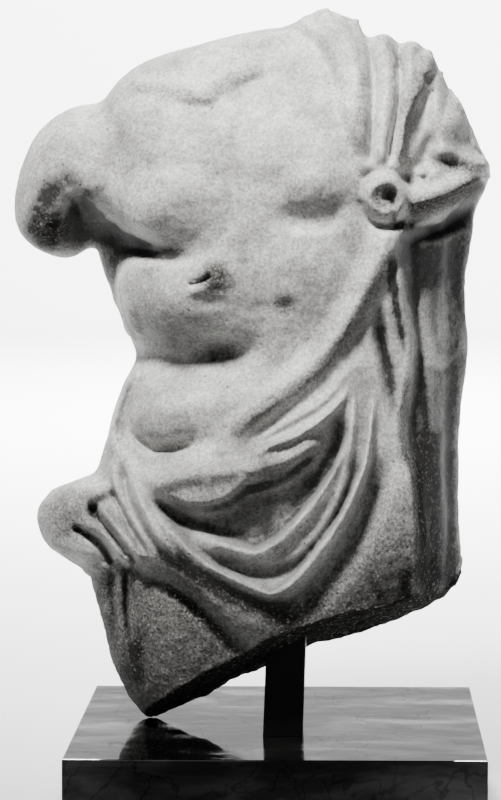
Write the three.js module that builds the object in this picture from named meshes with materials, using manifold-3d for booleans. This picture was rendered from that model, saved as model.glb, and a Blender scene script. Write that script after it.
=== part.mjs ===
// A fragment of a marble statue: a headless torso with a cloak over one shoulder and round the hips.
// A square steel post on a polished stone block holds it up. Millimetres, +Z up, the front faces -Y.
// The origin is the middle of the block's underside.
import * as THREE from 'three';
import { mergeVertices } from 'three/addons/utils/BufferGeometryUtils.js';
import Module from 'manifold-3d';

// Driving sizes
const BASE_WIDTH = 320;
const BASE_DEPTH = 211;
const BASE_HEIGHT = 70;
const BASE_ARRIS = 1.2;
const POST_SIDE = 31;
const POST_CENTRE_X = 4.2;
const POST_FRONT_Y = -44;
const POST_LEAN = 0.038;
const GAP = 0.3;

// The break under the hips: its lowest line across, and how steeply the stone rises to front and back
const BREAK_LINE = [
  [-190, 92], [-150, 76], [-121, 71], [-97, 73], [-68, 86], [-35, 102], [22, 127], [57, 138], [97, 149],
  [129, 166], [146, 184], [190, 240],
];
const BREAK_LINE_Y = 8;
const BREAK_FRONT_SLOPE = 0.42;
const BREAK_BACK_SLOPE = 0.35;
const BREAK_CUT_ALLOWANCE = 5;

// How finely the surfaces are divided
const TORSO_COLUMNS = 72;
const TORSO_FRONT_COLUMNS = 54;
const TORSO_ROWS = 60;
const STUMP_COLUMNS = 26;
const STUMP_ROWS = 15;
const HAND_COLUMNS = 28;
const HAND_ROWS = 17;
const FACE_REACH = 4.2;
const EVENING = [
  [0, 0, 0.28], [1, 0, 0.12], [-1, 0, 0.12], [0, 1, 0.12], [0, -1, 0.12], [1, 1, 0.06],
  [1, -1, 0.06], [-1, 1, 0.06],
  [-1, -1, 0.06],
];

// The front is laid out as it is seen from this point, on the upright plane y = 0
const EYE = { x: 50.4, y: -1560, z: 513.8 };

// The outline at the viewer's left, without the arm stump and the hand: x and height
const LEFT_EDGE = [
  [-129, 631], [-140, 599], [-145, 559], [-149, 503], [-147, 459], [-141, 435], [-131, 407],
  [-121, 385], [-114, 364], [-119, 350], [-128, 330], [-135, 307], [-138, 283], [-142, 255],
  [-146, 223], [-149, 199], [-150, 181], [-145, 161], [-138, 135], [-132, 113], [-119, 87],
  [-103, 71], [-91, 59]
];
// The outline at the viewer's right: x and height
const RIGHT_EDGE = [
  [113, 631], [122, 607], [134, 583], [145, 564], [154, 543], [162, 526], [168, 514], [165, 498],
  [158, 479], [155, 455], [151, 427], [150, 399], [152, 375], [150, 350], [146, 327], [144, 295],
  [144, 255], [146, 215], [146, 190], [143, 175], [129, 159], [113, 135], [97, 59]
];
// The worn top, from the right shoulder past the neck to the cloak: x and height
const TOP_EDGE = [
  [-175, 543], [-143, 567], [-127, 583], [-105, 598], [-75, 608], [-46, 616], [-15, 623], [6, 626],
  [22, 632], [38, 636], [50, 630], [62, 629], [70, 616], [87, 614], [99, 609], [118, 607],
  [126, 594], [142, 570], [177, 495]
];
// How far the front stands forward at each height: y and height
const FRONT_DEPTH = [
  [-24, 631], [-46.5, 591], [-67, 551], [-77, 503], [-78.5, 463], [-73.5, 415], [-65.5, 367],
  [-73.5, 319], [-81.5, 271], [-85, 215], [-81.5, 151], [-73.5, 87], [-70.5, 59]
];
// How far the back stands out at each height: y and height
const BACK_DEPTH = [
  [46.5, 631], [62.5, 591], [72, 543], [73.5, 495], [70.5, 447], [61, 399], [54.5, 362],
  [62.5, 319], [73.5, 263], [75, 199], [69, 135], [61, 59]
];

// A value that goes from 0 to 1 between two limits
function smoothstep(low, high, value) {
  const t = Math.min(1, Math.max(0, (value - low) / (high - low)));
  return t * t * (3 - 2 * t);
}

// The larger of two values, rounded where they meet
function smoothMax(a, b, radius) {
  const h = Math.min(1, Math.max(0, 0.5 + (0.5 * (a - b)) / radius));
  return b + (a - b) * h + radius * h * (1 - h);
}

// The smaller of two values, rounded where they meet
function smoothMin(a, b, radius) {
  return -smoothMax(-a, -b, radius);
}

// Points along a smooth curve through the given ones
function curvePoints(points, steps) {
  const curve = new THREE.SplineCurve(points.map(([x, z]) => new THREE.Vector2(x, z)));
  return curve.getPoints(steps * (points.length - 1));
}

// A smooth curve read as a function: along is the coordinate that is given, across the one that is found
function curveFunction(points, along, across) {
  const samples = curvePoints(points, 12).sort((a, b) => a[along] - b[along]);
  return (value) => {
    let low = 0;
    let high = samples.length - 1;
    if (value <= samples[low][along]) return samples[low][across];
    if (value >= samples[high][along]) return samples[high][across];
    while (high - low > 1) {
      const middle = (low + high) >> 1;
      if (samples[middle][along] > value) high = middle;
      else low = middle;
    }
    const span = samples[high][along] - samples[low][along];
    const t = span > 0 ? (value - samples[low][along]) / span : 0;
    return samples[low][across] + (samples[high][across] - samples[low][across]) * t;
  };
}

const leftAt = curveFunction(LEFT_EDGE, 'y', 'x');
const rightAt = curveFunction(RIGHT_EDGE, 'y', 'x');
const topAt = curveFunction(TOP_EDGE, 'x', 'y');
const frontAt = curveFunction(FRONT_DEPTH, 'y', 'x');
const backAt = curveFunction(BACK_DEPTH, 'y', 'x');
const breakAt = curveFunction(BREAK_LINE, 'x', 'y');

// The carving of the front is a list of forms, each a height over the plain body
const forms = [];

// A form of its own height inside an outline, with a soft edge
function plate(name, outline, rise, edge) {
  const points = curvePoints([...outline, outline[0]], 4);
  const box = boundsOf(points, edge);
  const height = (x, z) => rise * smoothstep(-edge / 2, edge / 2, insideDistance(points, x, z));
  forms.push({ name, box, height });
}

// A rounded swelling, or a hollow where the rise is negative
function bump(name, [centreX, centreZ], [radiusX, radiusZ], rise, degrees) {
  const cos = Math.cos(THREE.MathUtils.degToRad(degrees));
  const sin = Math.sin(THREE.MathUtils.degToRad(degrees));
  const reach = Math.max(radiusX, radiusZ);
  const box = boundsOf([{ x: centreX, y: centreZ }], reach);
  const height = (x, z) => {
    const along = ((x - centreX) * cos + (z - centreZ) * sin) / radiusX;
    const across = (-(x - centreX) * sin + (z - centreZ) * cos) / radiusZ;
    const inside = Math.max(0, 1 - along * along - across * across);
    return rise * inside * inside;
  };
  forms.push({ name, box, height });
}

// A fold of cloth along a curve, or a groove where the rise is negative. The width goes from the first
// to the second value, lean is the share of it on the right-hand side of the way the curve runs, and
// fade is the share of the length over which each end dies away
function fold(name, path, rise, [startWidth, endWidth], lean, [fadeIn, fadeOut]) {
  const points = curvePoints(path, 5);
  const widest = Math.max(startWidth, endWidth);
  const box = boundsOf(points, widest);
  const height = (x, z) => {
    const near = nearestOnCurve(points, x, z);
    const width = startWidth + (endWidth - startWidth) * near.share;
    const half = width * (near.onRight ? lean : 1 - lean);
    if (near.distance >= half) return 0;
    const t = near.distance / half;
    const start = fadeIn > 0 ? smoothstep(0, fadeIn, near.share) : 1;
    const end = fadeOut > 0 ? smoothstep(0, fadeOut, 1 - near.share) : 1;
    return rise * (1 - t * t) ** 2 * start * end;
  };
  forms.push({ name, box, height });
}

// The rectangle round some points, grown by a margin
function boundsOf(points, margin) {
  const box = new THREE.Box2().setFromPoints(points);
  return box.expandByScalar(margin);
}

// How far along a curve the nearest place is, how far away, and on which side
function nearestOnCurve(points, x, z) {
  let travelled = 0;
  let best = { distance: Infinity, at: 0, onRight: false };
  for (let i = 1; i < points.length; i += 1) {
    const runX = points[i].x - points[i - 1].x;
    const runZ = points[i].y - points[i - 1].y;
    const length = Math.hypot(runX, runZ) || 1e-6;
    const toX = x - points[i - 1].x;
    const toZ = z - points[i - 1].y;
    const along = Math.min(length, Math.max(0, (toX * runX + toZ * runZ) / length));
    const distance = Math.hypot(toX - (along * runX) / length, toZ - (along * runZ) / length);
    if (distance < best.distance) {
      best = { distance, at: travelled + along, onRight: runX * toZ - runZ * toX < 0 };
    }
    travelled += length;
  }
  return { distance: best.distance, share: best.at / travelled, onRight: best.onRight };
}

// Distance to a closed outline, positive inside it
function insideDistance(points, x, z) {
  let inside = false;
  let distance = Infinity;
  for (let i = 1; i < points.length; i += 1) {
    const a = points[i - 1];
    const b = points[i];
    if (a.y > z !== b.y > z && x < ((b.x - a.x) * (z - a.y)) / (b.y - a.y) + a.x) inside = !inside;
    const runX = b.x - a.x;
    const runZ = b.y - a.y;
    const span = runX * runX + runZ * runZ || 1e-9;
    const t = Math.min(1, Math.max(0, ((x - a.x) * runX + (z - a.y) * runZ) / span));
    distance = Math.min(distance, Math.hypot(x - a.x - t * runX, z - a.y - t * runZ));
  }
  return inside ? distance : -distance;
}

// The carving of the front
plate('collar facet', [[-129, 588], [-103, 580], [-79, 575], [-58, 573], [-46, 583], [-27, 593],
  [-6, 601], [17, 617], [6, 639], [-63, 631], [-119, 607]], -3, 13);
plate('strap cloth', [[6, 630], [31, 615], [46, 588], [50, 561], [60, 530], [66, 511], [97, 510],
  [113, 527], [129, 567], [133, 615], [81, 631], [17, 647]], 6, 12);
plate('himation', [[90, 462], [79, 438], [62, 407], [44, 377], [21, 351], [1, 337], [-27, 319],
  [-46, 295], [-79, 278], [-110, 271], [-140, 295], [-191, 199], [-175, 39], [193, 39], [193, 407],
  [193, 466], [129, 468]], 5.5, 17);
plate('side drapery', [[98, 457], [103, 407], [108, 375], [106, 350], [101, 323], [102, 295],
  [110, 273], [113, 245], [116, 210], [117, 135], [193, 135], [193, 476], [129, 470]], -13.5, 13);
plate('thigh', [[-129, 198], [-103, 183], [-74, 167], [-57, 150], [-31, 119], [-23, 87], [-87, 39],
  [-159, 55], [-162, 167]], -8, 15);
plate('armpit', [[-159, 484], [-140, 468], [-116, 458], [-103, 449], [-116, 442], [-126, 433],
  [-130, 407], [-126, 386], [-118, 366], [-146, 366], [-166, 438]], -22, 24);
plate('broken lump', [[-103, 263], [-75, 272], [-43, 276], [-22, 278], [-14, 268], [-26, 257],
  [-44, 245], [-65, 240], [-86, 245], [-101, 253]], 12, 12);
plate('deep hollow', [[-90, 242], [-65, 236], [-41, 242], [-22, 254], [6, 262], [34, 286], [45, 311],
  [51, 298], [47, 273], [34, 255], [17, 235], [-1, 218], [-17, 210], [-33, 212], [-59, 220], [-81, 230]
 ], -17, 18);
plate('arm recess', [[118, 577], [107, 565], [104, 547], [100, 531], [97, 510], [116, 511], [123, 527],
  [119, 551]], -11, 11);
plate('knob disc', [[66, 490], [70, 503], [81, 509], [94, 507], [103, 498], [103, 485], [97, 474],
  [85, 470], [73, 475]], 8.5, 7.5);
bump('right pec', [-87, 521], [70.4, 64], 13.5, 8);
bump('right pec lower', [-86, 495], [57.6, 36.8], 8, 4);
bump('left pec', [22, 527], [59.2, 57.6], 9, -6);
bump('left pec lower', [26, 500], [44.8, 27.2], 4, 6);
bump('rib cage right', [-73, 414], [60.8, 54.4], 12, 10);
bump('rib arch', [-86, 404], [48, 33.6], 6, -10);
bump('rib cage left', [18, 430], [46.4, 43.2], 5.5, -20);
bump('waist hollow', [-71, 358], [67.2, 32], -12, -3);
bump('waist pit', [-34, 369], [32, 19.2], -5, 10);
bump('belly', [-58, 324], [64, 36.8], 7, 4);
bump('flank roll', [-95, 324], [30.4, 32], 10, 10);
bump('pit of the shoulder', [-132, 519], [14.4, 44.8], -2.5, -12);
bump('collar hollow', [-63, 561], [27.2, 12], -4, -4);
bump('collar hollow right', [-22, 578], [20.8, 12.8], -3.5, 24);
bump('arm cloth', [135, 551], [24, 38.4], 6.5, -22);
bump('strap lump', [118, 596], [11.2, 13.6], 7, 0);
bump('knob hole', [88, 493], [9.6, 9.6], -9, 0);
bump('front mass', [97, 223], [32, 64], 11, -4);
bump('thigh round', [-89, 127], [49.6, 56], 6.5, -20);
bump('chest wound', [-52, 426], [20.8, 20.8], 3.5, 0);
bump('heel of the hand', [-158, 207], [24, 14.4], 5, -10);
bump('worn patch', [134, 390], [14.4, 35.2], 3, -4);
fold('right pec crease', [[-143, 470], [-127, 458], [-103, 450], [-79, 449], [-57, 455], [-38, 468]
 ], -4.7, [40, 44], 0.4, [0.1, 0.5]);
fold('left pec crease', [[57, 479], [33, 471], [9, 471], [-14, 481]], -3.76, [34, 30], 0.6, [0.2, 0.4]);
fold('lat edge', [[-126, 438], [-127, 415], [-124, 393], [-114, 369]
 ], 5.64, [16, 22], 0.3, [0.25, 0.3]);
fold('flank crease', [[-118, 334], [-118, 313], [-113, 298], [-102, 289], [-85, 286], [-66, 290],
  [-50, 298]], -6.58, [13, 15], 0.5, [0.4, 0.4]);
fold('hip hem', [[-111, 361], [-124, 334], [-132, 308], [-137, 286]], 3.76, [10, 16], 0.5, [0.3, 0.2]);
fold('strap fold 1', [[46, 628], [57, 609], [64, 579], [66, 551], [66, 521]
 ], 6.58, [38, 17], 0.64, [0, 0.2]);
fold('strap fold 2', [[83, 615], [86, 583], [84, 555], [81, 514]], 4.7, [23, 13], 0.5, [0, 0.1]);
fold('strap fold 3', [[106, 609], [105, 579], [100, 551], [96, 518]], 5.64, [22, 9], 0.5, [0, 0.1]);
fold('strap fold 3 edge', [[118, 594], [112, 578], [105, 562], [103, 545]
 ], 3.76, [16, 8], 0.5, [0.1, 0.3]);
fold('arm ridge', [[116, 523], [129, 526], [142, 524], [153, 519], [167, 516]
 ], 5.64, [12, 13], 0.35, [0.15, 0]);
fold('arm cavity', [[126, 518], [138, 513], [153, 510]], -4.7, [13, 12], 0.5, [0.2, 0.2]);
fold('arm tongue', [[121, 506], [133, 501], [148, 503]], 3.76, [17, 14], 0.5, [0.2, 0.2]);
fold('arm roll', [[98, 482], [117, 480], [134, 486], [151, 496], [164, 506]
 ], 8.46, [17, 20], 0.36, [0.12, 0.2]);
fold('arm underside', [[98, 465], [121, 465], [142, 474], [162, 490]], -8.46, [22, 26], 0.5, [0.1, 0]);
fold('hem roll', [[90, 470], [79, 442], [64, 411], [46, 381], [23, 354], [1, 334], [-17, 320],
  [-33, 306], [-46, 293]], 10.81, [33, 24], 0.62, [0.05, 0.12]);
fold('hem lee', [[91, 452], [83, 430], [71, 402], [57, 374], [38, 348], [15, 328], [-9, 314], [-30, 298]
 ], -3.76, [22, 20], 0.5, [0.12, 0.15]);
fold('third ridge', [[58, 345], [51, 330], [39, 317], [27, 308], [15, 300], [-6, 292], [-26, 279]
 ], 9.4, [10, 20], 0.42, [0.25, 0.1]);
fold('lump lobe', [[-31, 268], [-14, 276], [9, 282], [34, 298]], 8.46, [26, 18], 0.5, [0.1, 0.25]);
fold('waist roll', [[-113, 271], [-95, 263], [-73, 268], [-52, 271], [-30, 278]
 ], 4.7, [18, 26], 0.6, [0.15, 0.15]);
fold('swag 1', [[62, 335], [57, 303], [47, 278], [35, 256], [18, 234], [0, 216], [-17, 206],
  [-33, 209], [-54, 215], [-73, 222]], 13.16, [9, 28], 0.3, [0.3, 0.12]);
fold('valley fold', [[58, 343], [58, 299], [50, 254], [33, 219], [17, 198]
 ], 4.23, [9, 15], 0.5, [0.2, 0.3]);
fold('swag 1 lee', [[62, 303], [57, 263], [43, 231], [23, 202], [-2, 190], [-31, 195], [-61, 208]
 ], -7.52, [10, 20], 0.5, [0.3, 0.15]);
fold('swag 2', [[76, 339], [74, 310], [69, 278], [60, 254], [46, 228], [29, 204], [12, 182], [-5, 173],
  [-20, 177], [-44, 188], [-66, 202], [-86, 223], [-102, 247], [-110, 268]
 ], 13.16, [8, 30], 0.34, [0.12, 0.2]);
fold('front lee', [[84, 303], [79, 263], [70, 234], [56, 209], [38, 182], [19, 164], [4, 154]
 ], -9.4, [14, 32], 0.5, [0.2, 0.2]);
fold('outer band', [[-120, 268], [-105, 230], [-87, 202], [-65, 178], [-39, 160], [-14, 146], [17, 140]
 ], 7.52, [22, 46], 0.46, [0.15, 0.2]);
fold('band lee', [[-130, 202], [-103, 186], [-74, 170], [-57, 153], [-31, 127]
 ], -7.52, [24, 24], 0.45, [0.1, 0]);
fold('hip fold 1', [[-134, 287], [-130, 255], [-118, 226], [-100, 198], [-81, 178]
 ], 4.23, [10, 16], 0.5, [0.2, 0.3]);
fold('hip fold 2', [[-120, 278], [-111, 247], [-95, 218], [-73, 192]], 4.23, [10, 16], 0.5, [0.2, 0.3]);
fold('side groove', [[87, 442], [86, 407], [86, 375], [88, 343], [91, 311], [94, 282]
 ], -12.22, [20, 22], 0.5, [0.2, 0.15]);
fold('side ridge 1', [[95, 447], [100, 407], [106, 371], [100, 331], [97, 307]
 ], 3.76, [9, 14], 0.4, [0.2, 0.2]);
fold('side ridge 2', [[113, 438], [118, 391], [122, 343], [126, 295], [127, 231], [129, 183]
 ], 3.29, [14, 20], 0.5, [0.2, 0.1]);
fold('front mass edge', [[103, 283], [108, 247], [111, 211], [111, 171]
 ], 4.7, [13, 15], 0.75, [0.2, 0]);
fold('left lobe', [[-140, 199], [-146, 180], [-142, 159], [-134, 137]
 ], 7.99, [16, 10], 0.5, [0.1, 0.3]);
fold('finger 1', [[-162, 234], [-142, 222], [-130, 209], [-118, 194]
 ], 8.46, [16, 11], 0.5, [0.25, 0.05]);
fold('finger 2', [[-146, 245], [-133, 229], [-119, 211], [-108, 198]
 ], 8.93, [16, 11], 0.5, [0.15, 0.1]);

// Height of the front's carving at a place of the drawing plane
function carvingAt(x, z) {
  let total = 0;
  for (const form of forms) {
    if (x > form.box.min.x && x < form.box.max.x && z > form.box.min.y && z < form.box.max.y) {
      total += form.height(x, z);
    }
  }
  return total;
}

// The same height evened out over the size of one face, so that narrow grooves don't turn jagged
function carving(x, z) {
  let total = 0;
  for (const [shiftX, shiftZ, weight] of EVENING) {
    total += weight * carvingAt(x + shiftX * FACE_REACH, z + shiftZ * FACE_REACH);
  }
  return total;
}

// Cloak folds of the back, running from the shoulder at the viewer's right down to the other hip
const BACK_FOLD_PITCH = 74;
const BACK_FOLD_RISE = 5;
const BACK_FOLD_TURN = THREE.MathUtils.degToRad(52);
function backCarving(x, z) {
  const across = x * Math.sin(BACK_FOLD_TURN) + z * Math.cos(BACK_FOLD_TURN);
  const wander = 9 * Math.sin(z / 70) + 6 * Math.sin(x / 45);
  const wave = Math.cos((2 * Math.PI * (across + wander)) / BACK_FOLD_PITCH) - 1;
  return BACK_FOLD_RISE * wave * smoothstep(170, 260, across);
}

// Upright flutes of the cloth that hangs down the viewer's right side
const SIDE_FLUTE_PITCH = 30;
const SIDE_FLUTE_RISE = 1.2;
function sideCarving(y, z) {
  const wave = Math.cos((2 * Math.PI * (y + 4 * Math.sin(z / 60))) / SIDE_FLUTE_PITCH) - 1;
  return SIDE_FLUTE_RISE * wave * smoothstep(520, 420, z);
}

// Where the line of sight through a point meets the drawing plane
function onDrawingPlane(x, y, z) {
  const scale = -EYE.y / (y - EYE.y);
  return { x: EYE.x + (x - EYE.x) * scale, z: EYE.z + (z - EYE.z) * scale };
}

// Distance to an ellipsoid, about right near its surface
function ellipsoidDistance(point, centre, radii) {
  const q = Math.hypot(
    (point[0] - centre[0]) / radii[0],
    (point[1] - centre[1]) / radii[1],
    (point[2] - centre[2]) / radii[2],
  );
  return (q - 1) * Math.min(...radii);
}

// How much of the front's carving a place takes: all of it in front, none behind
function frontShare(y) {
  return smoothstep(8, -36, y);
}

// Height of the broken underside: it rises from its lowest line to the front and to the back
function undersideAt(x, y) {
  const rise = Math.max(BREAK_FRONT_SLOPE * (BREAK_LINE_Y - y), BREAK_BACK_SLOPE * (y - BREAK_LINE_Y));
  return breakAt(x) + rise;
}

// Below zero inside the torso, which is made a little too long and then cut at the break. Each
// level is a rounded rectangle between the outlines and the depths
const LEVEL_POWER = 2.35;
function torsoField(x, y, z) {
  const seen = onDrawingPlane(x, y, z);
  const left = leftAt(seen.z);
  const right = rightAt(seen.z);
  const middle = (left + right) / 2;
  const halfWidth = (right - left) / 2;
  const depth = y < 0 ? -frontAt(seen.z) : backAt(seen.z);
  const q = (Math.abs((seen.x - middle) / halfWidth) ** LEVEL_POWER + Math.abs(y / depth) ** LEVEL_POWER)
    ** (1 / LEVEL_POWER);
  const wall = (q - 1) * Math.min(halfWidth, depth);
  const top = (seen.z - topAt(seen.x)) * 0.93 + 0.003 * (y - 4) ** 2;
  const below = (undersideAt(x, y) - BREAK_CUT_ALLOWANCE - z) * 0.9;
  let field = smoothMax(wall, top, 11);
  const share = frontShare(y);
  if (share > 0) field -= carving(seen.x, seen.z) * share;
  if (y > 0) field -= backCarving(x, z) * smoothstep(8, 40, y);
  field -= sideCarving(y, z) * smoothstep(112, 140, seen.x);
  return Math.max(field, below);
}

// Below zero inside the stump of the right upper arm, broken off obliquely
const STUMP_CENTRE = [-160, 0, 504];
const STUMP_BREAK_POINT = [-174, 0, 442];
const STUMP_BREAK_NORMAL = new THREE.Vector3(-0.4, -0.25, -0.88).normalize();
function stumpField(x, y, z) {
  const seen = onDrawingPlane(x, y, z);
  const point = [seen.x, y, seen.z];
  const shoulder = ellipsoidDistance(point, [-146, 0, 510], [56, 50, 54]);
  const arm = ellipsoidDistance(point, [-177, -3, 485], [34, 35, 43]);
  const round = smoothMin(shoulder, arm, 12);
  const cut = STUMP_BREAK_NORMAL.x * (seen.x - STUMP_BREAK_POINT[0])
    + STUMP_BREAK_NORMAL.y * (y - STUMP_BREAK_POINT[1])
    + STUMP_BREAK_NORMAL.z * (seen.z - STUMP_BREAK_POINT[2]);
  return smoothMax(round, cut, 6) - carving(seen.x, seen.z) * frontShare(y);
}

// Below zero inside the right hand that grips the cloth on the hip
const HAND_CENTRE = [-150, -14, 230];
function handField(x, y, z) {
  const seen = onDrawingPlane(x, y, z);
  const point = [seen.x, y, seen.z];
  const palm = ellipsoidDistance(point, [-164, -11, 233], [30, 32, 28]);
  const knuckles = ellipsoidDistance(point, [-140, -19, 228], [32, 32, 32]);
  return smoothMin(palm, knuckles, 14) - carving(seen.x, seen.z) * frontShare(y);
}

// How far a ray goes from inside a form until it leaves it
function reach(field, origin, direction) {
  const step = 6;
  let near = 0;
  let far = step;
  const at = (distance) => field(
    origin.x + direction.x * distance,
    origin.y + direction.y * distance,
    origin.z + direction.z * distance,
  );
  while (at(far) < 0 && far < 500) {
    near = far;
    far += step;
  }
  for (let i = 0; i < 14; i += 1) {
    const middle = (near + far) / 2;
    if (at(middle) < 0) near = middle;
    else far = middle;
  }
  return near;
}

// A ball whose points are sent out along their rays to the surface of a form
function castSurface(field, columns, rows, rayAt) {
  const ball = new THREE.SphereGeometry(1, columns, rows);
  ball.deleteAttribute('normal');
  const uv = ball.getAttribute('uv');
  const position = ball.getAttribute('position');
  for (let i = 0; i < position.count; i += 1) {
    const atPole = uv.getY(i) === 0 || uv.getY(i) === 1;
    const { origin, direction } = rayAt(atPole ? 0 : uv.getX(i) % 1, uv.getY(i));
    const distance = reach(field, origin, direction);
    position.setXYZ(
      i,
      origin.x + direction.x * distance,
      origin.y + direction.y * distance,
      origin.z + direction.z * distance,
    );
  }
  ball.deleteAttribute('uv');
  return turnDiagonals(mergeVertices(ball, 1e-4), field);
}

// Splits each four-sided face along the diagonal that lies nearer the surface of the form
function turnDiagonals(geometry, field) {
  const position = geometry.getAttribute('position');
  const index = geometry.getIndex();
  const offSurface = (a, b) => Math.abs(field(
    (position.getX(a) + position.getX(b)) / 2,
    (position.getY(a) + position.getY(b)) / 2,
    (position.getZ(a) + position.getZ(b)) / 2,
  ));
  for (let i = 0; i + 5 < index.count; i += 3) {
    const [a, b, d] = [index.getX(i), index.getX(i + 1), index.getX(i + 2)];
    const [e, c, f] = [index.getX(i + 3), index.getX(i + 4), index.getX(i + 5)];
    const isPair = e === b && f === d && c !== a;
    if (isPair && offSurface(a, c) < offSurface(b, d)) {
      index.setX(i + 2, c);
      index.setX(i + 3, a);
      i += 3;
    } else if (isPair) {
      i += 3;
    }
  }
  return geometry;
}

// Rays of the torso leave an upright line, level over most of its height and turning to the poles at the ends
const TORSO_AXIS = { x: -14, y: -6, middleZ: 370, halfHeight: 205 };
const TORSO_RAY_SPREAD = { wide: 150, deep: 78 };
function torsoRay(u, v) {
  const level = 2 * v - 1;
  const tilt = Math.sign(level) * (Math.PI / 2) * Math.abs(level) ** 4;
  const frontPart = TORSO_FRONT_COLUMNS / TORSO_COLUMNS;
  const turn = u < frontPart ? Math.PI * (1 + u / frontPart) : Math.PI * ((u - frontPart) / (1 - frontPart));
  const aside = TORSO_RAY_SPREAD.wide * Math.cos(turn);
  const ahead = TORSO_RAY_SPREAD.deep * Math.sin(turn);
  const flat = Math.hypot(aside, ahead);
  const direction = new THREE.Vector3(
    (aside / flat) * Math.cos(tilt),
    (ahead / flat) * Math.cos(tilt),
    Math.sin(tilt),
  );
  const levelZ = TORSO_AXIS.middleZ + TORSO_AXIS.halfHeight * level;
  const origin = new THREE.Vector3(TORSO_AXIS.x, TORSO_AXIS.y, levelZ);
  return { origin, direction };
}

// Rays that leave one point in all directions
function pointRay(centre) {
  return (u, v) => {
    const turn = Math.PI * (1 + 2 * u);
    const tilt = Math.PI * (v - 0.5);
    const direction = new THREE.Vector3(
      Math.cos(tilt) * Math.cos(turn),
      Math.cos(tilt) * Math.sin(turn),
      Math.sin(tilt),
    );
    return { origin: new THREE.Vector3(...centre), direction };
  };
}

const wasm = await Module();
wasm.setup();

// A closed geometry as a solid that can be joined and cut
function solid(geometry) {
  const plain = geometry.clone();
  plain.deleteAttribute('normal');
  plain.deleteAttribute('uv');
  const merged = mergeVertices(plain, 1e-4);
  return new wasm.Manifold(new wasm.Mesh({
    numProp: 3,
    vertProperties: new Float32Array(merged.getAttribute('position').array),
    triVerts: new Uint32Array(merged.getIndex().array),
  }));
}

// A solid back as a geometry
function geometryOf(manifold) {
  const mesh = manifold.getMesh();
  const geometry = new THREE.BufferGeometry();
  geometry.setAttribute('position', new THREE.BufferAttribute(mesh.vertProperties, 3));
  geometry.setIndex(new THREE.BufferAttribute(mesh.triVerts, 1));
  geometry.computeVertexNormals();
  return geometry;
}

// The space below the break, which rises from its lowest line by a slope towards +Y
function breakCutter(slope) {
  const halfDepth = 160;
  const shape = new THREE.Shape();
  shape.moveTo(BREAK_LINE[0][0], -200);
  BREAK_LINE.forEach(([x, z]) => shape.lineTo(x, z));
  shape.lineTo(BREAK_LINE[BREAK_LINE.length - 1][0], -200);
  const block = new THREE.ExtrudeGeometry(shape, { depth: 2 * halfDepth, bevelEnabled: false });
  block.rotateX(Math.PI / 2);
  block.translate(0, halfDepth, 0);
  const drop = -slope * BREAK_LINE_Y;
  const shear = new THREE.Matrix4().set(1, 0, 0, 0, 0, 1, 0, 0, 0, slope, 1, drop, 0, 0, 0, 1);
  return block.applyMatrix4(shear);
}

// The whole marble: torso, stump and hand in one, cut off below
function marbleGeometry() {
  const torso = solid(castSurface(torsoField, TORSO_COLUMNS, TORSO_ROWS, torsoRay));
  const stump = solid(castSurface(stumpField, STUMP_COLUMNS, STUMP_ROWS, pointRay(STUMP_CENTRE)));
  const hand = solid(castSurface(handField, HAND_COLUMNS, HAND_ROWS, pointRay(HAND_CENTRE)));
  const whole = torso.add(stump).add(hand);
  const frontCut = whole.subtract(solid(breakCutter(-BREAK_FRONT_SLOPE)));
  const cut = frontCut.subtract(solid(breakCutter(BREAK_BACK_SLOPE)));
  return geometryOf(cut);
}

// The square post, leaning a little to the right, with its top cut to the slope of the break above it
function postGeometry() {
  const bar = new THREE.BoxGeometry(POST_SIDE, POST_SIDE, 1);
  bar.translate(0, 0, 0.5);
  const position = bar.getAttribute('position');
  const centreY = POST_FRONT_Y + POST_SIDE / 2;
  const foot = BASE_HEIGHT + GAP;
  for (let i = 0; i < position.count; i += 1) {
    const isTop = position.getZ(i) > 0.5;
    const y = centreY + position.getY(i);
    let x = POST_CENTRE_X + position.getX(i);
    let z = foot;
    if (isTop) {
      const slopeX = (BREAK_LINE[6][1] - BREAK_LINE[5][1]) / (BREAK_LINE[6][0] - BREAK_LINE[5][0]);
      const under = (at) => BREAK_LINE[5][1] + slopeX * (at - BREAK_LINE[5][0]);
      z = under(x) + BREAK_FRONT_SLOPE * (BREAK_LINE_Y - y) - GAP * 1.2;
      x += POST_LEAN * (z - foot);
      z = under(x) + BREAK_FRONT_SLOPE * (BREAK_LINE_Y - y) - GAP * 1.2;
    }
    position.setXYZ(i, x, y, z);
  }
  bar.computeVertexNormals();
  return bar;
}

// The polished block with its arrises taken off
function baseGeometry() {
  const half = { x: BASE_WIDTH / 2 - BASE_ARRIS, y: BASE_DEPTH / 2 - BASE_ARRIS };
  const outline = new THREE.Shape();
  outline.moveTo(-half.x, -half.y);
  outline.lineTo(half.x, -half.y);
  outline.lineTo(half.x, half.y);
  outline.lineTo(-half.x, half.y);
  outline.closePath();
  const block = new THREE.ExtrudeGeometry(outline, {
    depth: BASE_HEIGHT - 2 * BASE_ARRIS,
    bevelEnabled: true,
    bevelThickness: BASE_ARRIS,
    bevelSize: BASE_ARRIS,
    bevelSegments: 1,
  });
  block.translate(0, 0, BASE_ARRIS);
  return block;
}

const marble = new THREE.MeshStandardMaterial({ color: 0xc4c2bc, roughness: 0.62, metalness: 0 });
const blackSteel = new THREE.MeshStandardMaterial({ color: 0x151515, roughness: 0.38, metalness: 0.6 });
const darkStone = new THREE.MeshStandardMaterial({ color: 0x2b2b2a, roughness: 0.12, metalness: 0 });

// A named part of the object
function part(name, geometry, material) {
  const mesh = new THREE.Mesh(geometry, material);
  mesh.name = name;
  return mesh;
}

const fragment = new THREE.Group();
fragment.name = 'statue_fragment';
fragment.add(part('marble_torso', marbleGeometry(), marble));
fragment.add(part('support_post', postGeometry(), blackSteel));
fragment.add(part('display_base', baseGeometry(), darkStone));

export default fragment;
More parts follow.
